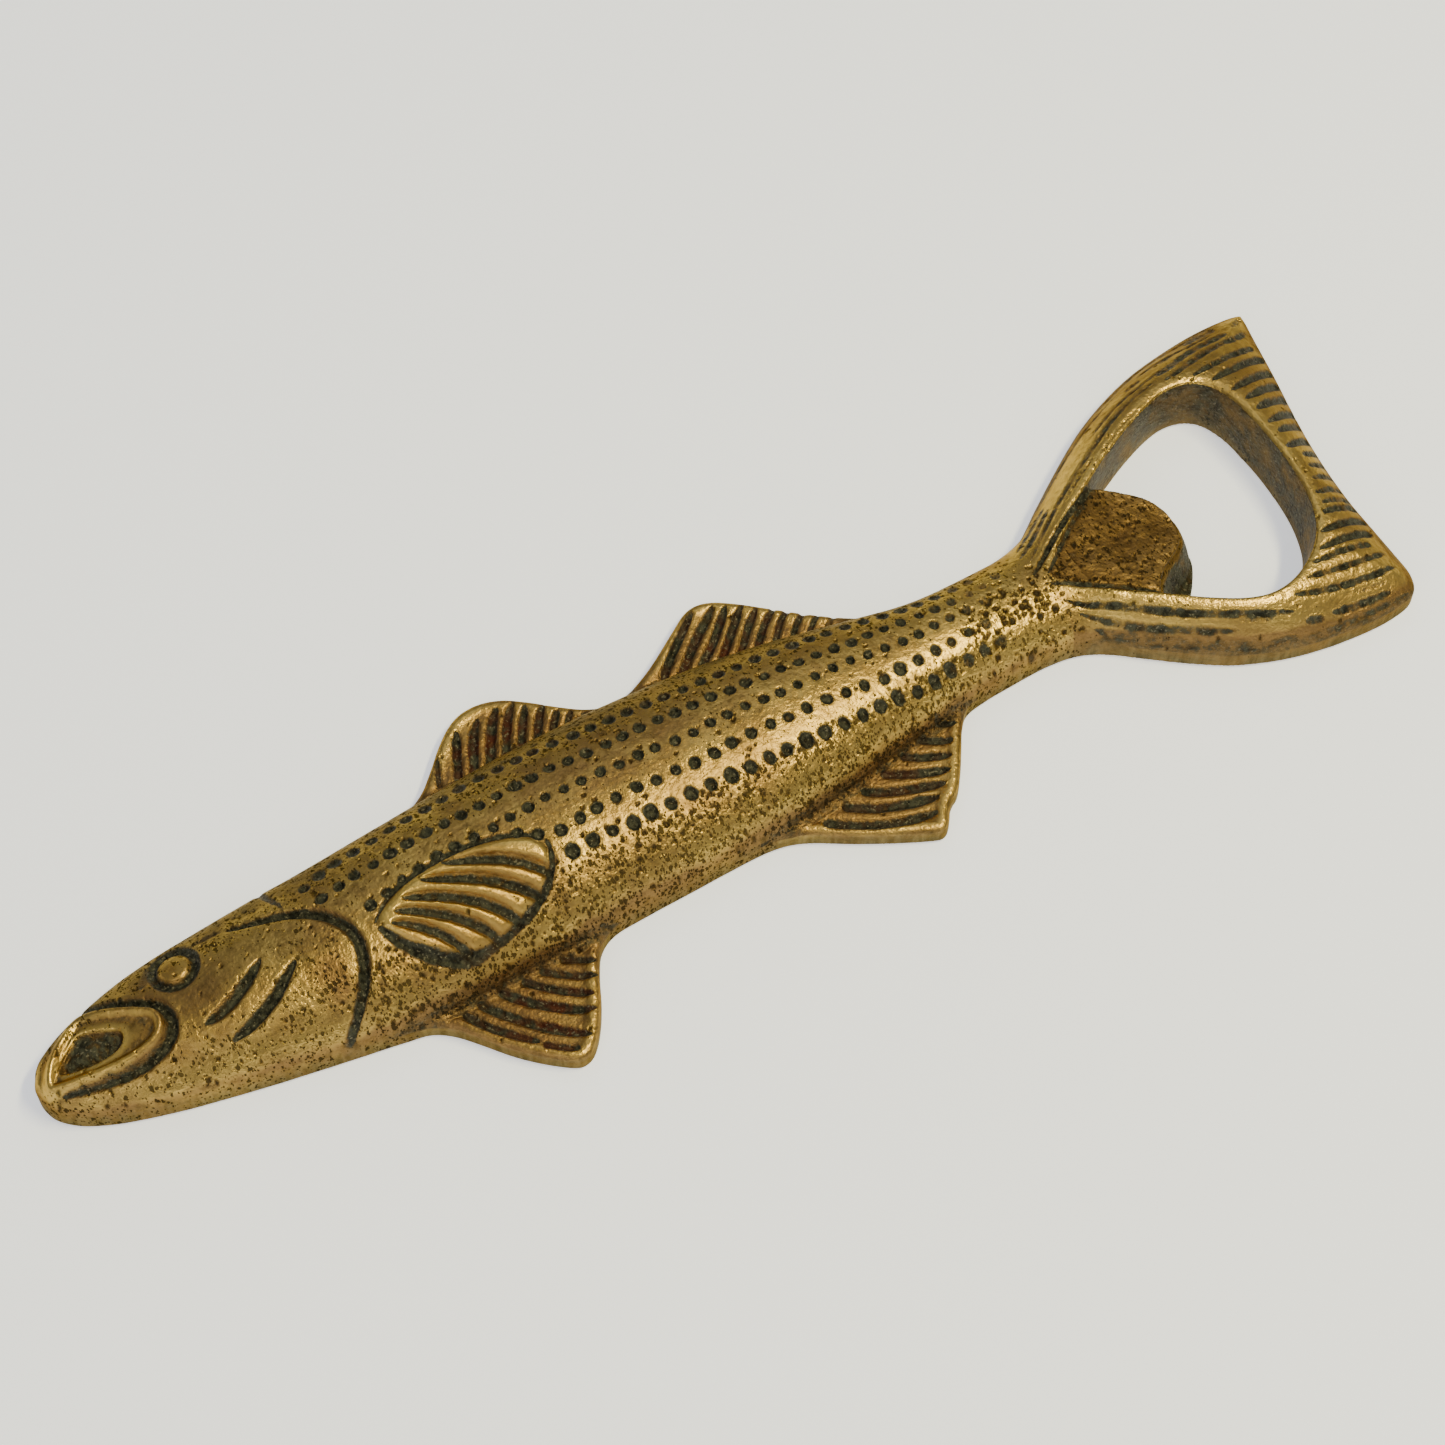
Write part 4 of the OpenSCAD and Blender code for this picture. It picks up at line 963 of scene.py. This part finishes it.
    b = N.bump(grain, 0.00005, 0.6)
    b = N.bump(fine, 0.00018 * grit, 0.8, b)
    b = N.bump(M("MULTIPLY", mid, M("ADD", 0.4, rough_map)), 0.00025 * grit, 0.6, b)
    b = N.bump(M("MULTIPLY", skin_bump, M("ADD", 0.35, M("ADD", M("MULTIPLY", halo_and_shade, 0.5), M("MULTIPLY", stain_and_shade, 1.4)))), 0.00030 * grit, 0.8, b)
    b = N.bump(M("SUBTRACT", 0.0, pore), 0.00022, 0.9, b)
    b = N.bump(M("MULTIPLY", lines, M("MULTIPLY", side, 1.0)), 0.00005, 0.6, b)
    b = N.bump(M("MULTIPLY", rubs, under), 0.00008, 0.7, b)

    p = N.add("ShaderNodeBsdfPrincipled")
    N.put(p.inputs["Base Color"], colour)
    N.put(p.inputs["Metallic"], M("SUBTRACT", 1.0, M("MULTIPLY", stain_and_shade, 0.75)))
    p.inputs["Specular Tint"].default_value = (0.64, 0.54, 0.38, 1.0)
    N.put(p.inputs["Roughness"], rough)
    N.put(p.inputs["Normal"], b)
    p.inputs["Specular IOR Level"].default_value = 0.35
    o = N.add("ShaderNodeOutputMaterial")
    N.put(o.inputs[0], p.outputs[0])
    return mat


cast = brass("aged_cast_brass", rgb(0.55, 0.374, 0.098), rgb(0.22, 0.133, 0.050), 0.29, 0.43, 1.0)
polished = brass("rubbed_brass", rgb(0.65, 0.445, 0.112), rgb(0.30, 0.182, 0.056), 0.27, 0.38, 0.7)
coarse = brass("rough_cast_brass", rgb(0.30, 0.185, 0.062), rgb(0.13, 0.076, 0.028), 0.40, 0.55, 1.1)
LOOK = {"cast_brass": cast, "polished_brass": polished, "rough_brass": coarse}

for n, (name, node, slot) in enumerate(zip(PIECES, NODES, SLOTS)):
    ob = build(n + 1, name)
    ob.data.materials.append(LOOK[slot])
    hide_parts(node)
    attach(ob, "root")

# ----------------------------------------------------- floor, lights, camera
fm = bpy.data.meshes.new("table_top")
fm.from_pydata([(-40, -40, 0), (40, -40, 0), (40, 40, 0), (-40, 40, 0)], [], [(0, 1, 2, 3)])
floor = bpy.data.objects.new("table_top", fm)
floor.location.z = -0.0002
bpy.context.scene.collection.objects.link(floor)
pale = bpy.data.materials.new("pale_table")
pale.use_nodes = True
pb = pale.node_tree.nodes["Principled BSDF"]
pb.inputs["Base Color"].default_value = (0.79, 0.84, 0.975, 1)
pb.inputs["Roughness"].default_value = 0.9
pb.inputs["Specular IOR Level"].default_value = 0.1
pb.inputs["Emission Color"].default_value = (1, 1, 1, 1)
pb.inputs["Emission Strength"].default_value = 0.75
fm.materials.append(pale)

world = bpy.data.worlds.new("studio")
world.use_nodes = True
wt = world.node_tree
bg = wt.nodes["Background"]
wc = wt.nodes.new("ShaderNodeTexCoord")
wx = wt.nodes.new("ShaderNodeSeparateXYZ")
wr = wt.nodes.new("ShaderNodeMapRange")
wr.inputs[1].default_value, wr.inputs[2].default_value = -0.1, 0.9
wr.inputs[3].default_value, wr.inputs[4].default_value = 0.22, 0.39
wt.links.new(wc.outputs["Generated"], wx.inputs[0])
wt.links.new(wx.outputs[2], wr.inputs[0])
wt.links.new(wr.outputs[0], bg.inputs[1])
bg.inputs[0].default_value = (0.97, 0.985, 1, 1)
bpy.context.scene.world = world


def lamp(name, where, at, size, size_y, power, tint=(1, 1, 1)):
    L = bpy.data.lights.new(name, "AREA")
    L.shape = "RECTANGLE"
    L.size, L.size_y, L.energy, L.color = size, size_y, power, tint
    ob = bpy.data.objects.new(name, L)
    ob.location = where
    d = Vector(at) - Vector(where)
    ob.rotation_euler = d.to_track_quat("-Z", "Y").to_euler()
    bpy.context.scene.collection.objects.link(ob)
    return ob


lamp("top_soft_box", (0.27, -0.22, 0.72), (0, 0, 0), 0.36, 0.06, 6.8, (1.0, 0.87, 0.40))
lamp("front_soft_box", (-0.55, -0.45, 0.45), (0, 0, 0), 0.4, 0.4, 1.25, (1.0, 0.94, 0.84))
lamp("low_front_soft_box", (0.10, -0.66, 0.62), (0, 0, 0), 0.6, 0.35, 0.35, (1.0, 0.97, 0.92))
lamp("back_soft_box", (0.20, 0.40, 0.66), (0, 0, 0), 0.5, 0.36, 0.50, (0.90, 0.95, 1.0))

AZ, EL, DIST = math.radians(-29.3), math.radians(58), 0.37534
back = Vector((math.sin(AZ) * math.cos(EL), -math.cos(AZ) * math.cos(EL), math.sin(EL)))
right = Vector((math.cos(AZ), math.sin(AZ), 0))
up = back.cross(right)
eye = Vector((0.00059, 0.0064, 0)) + back * DIST
cd = bpy.data.cameras.new("photo_camera")
cd.lens = 69.758
cd.sensor_width = 36
cd.sensor_fit = "HORIZONTAL"
cd.clip_start, cd.clip_end = 0.01, 20
cam = bpy.data.objects.new("photo_camera", cd)
cam.matrix_world = Matrix(((right.x, up.x, back.x, eye.x), (right.y, up.y, back.y, eye.y),
                           (right.z, up.z, back.z, eye.z), (0, 0, 0, 1)))
bpy.context.scene.collection.objects.link(cam)
bpy.context.scene.camera = cam
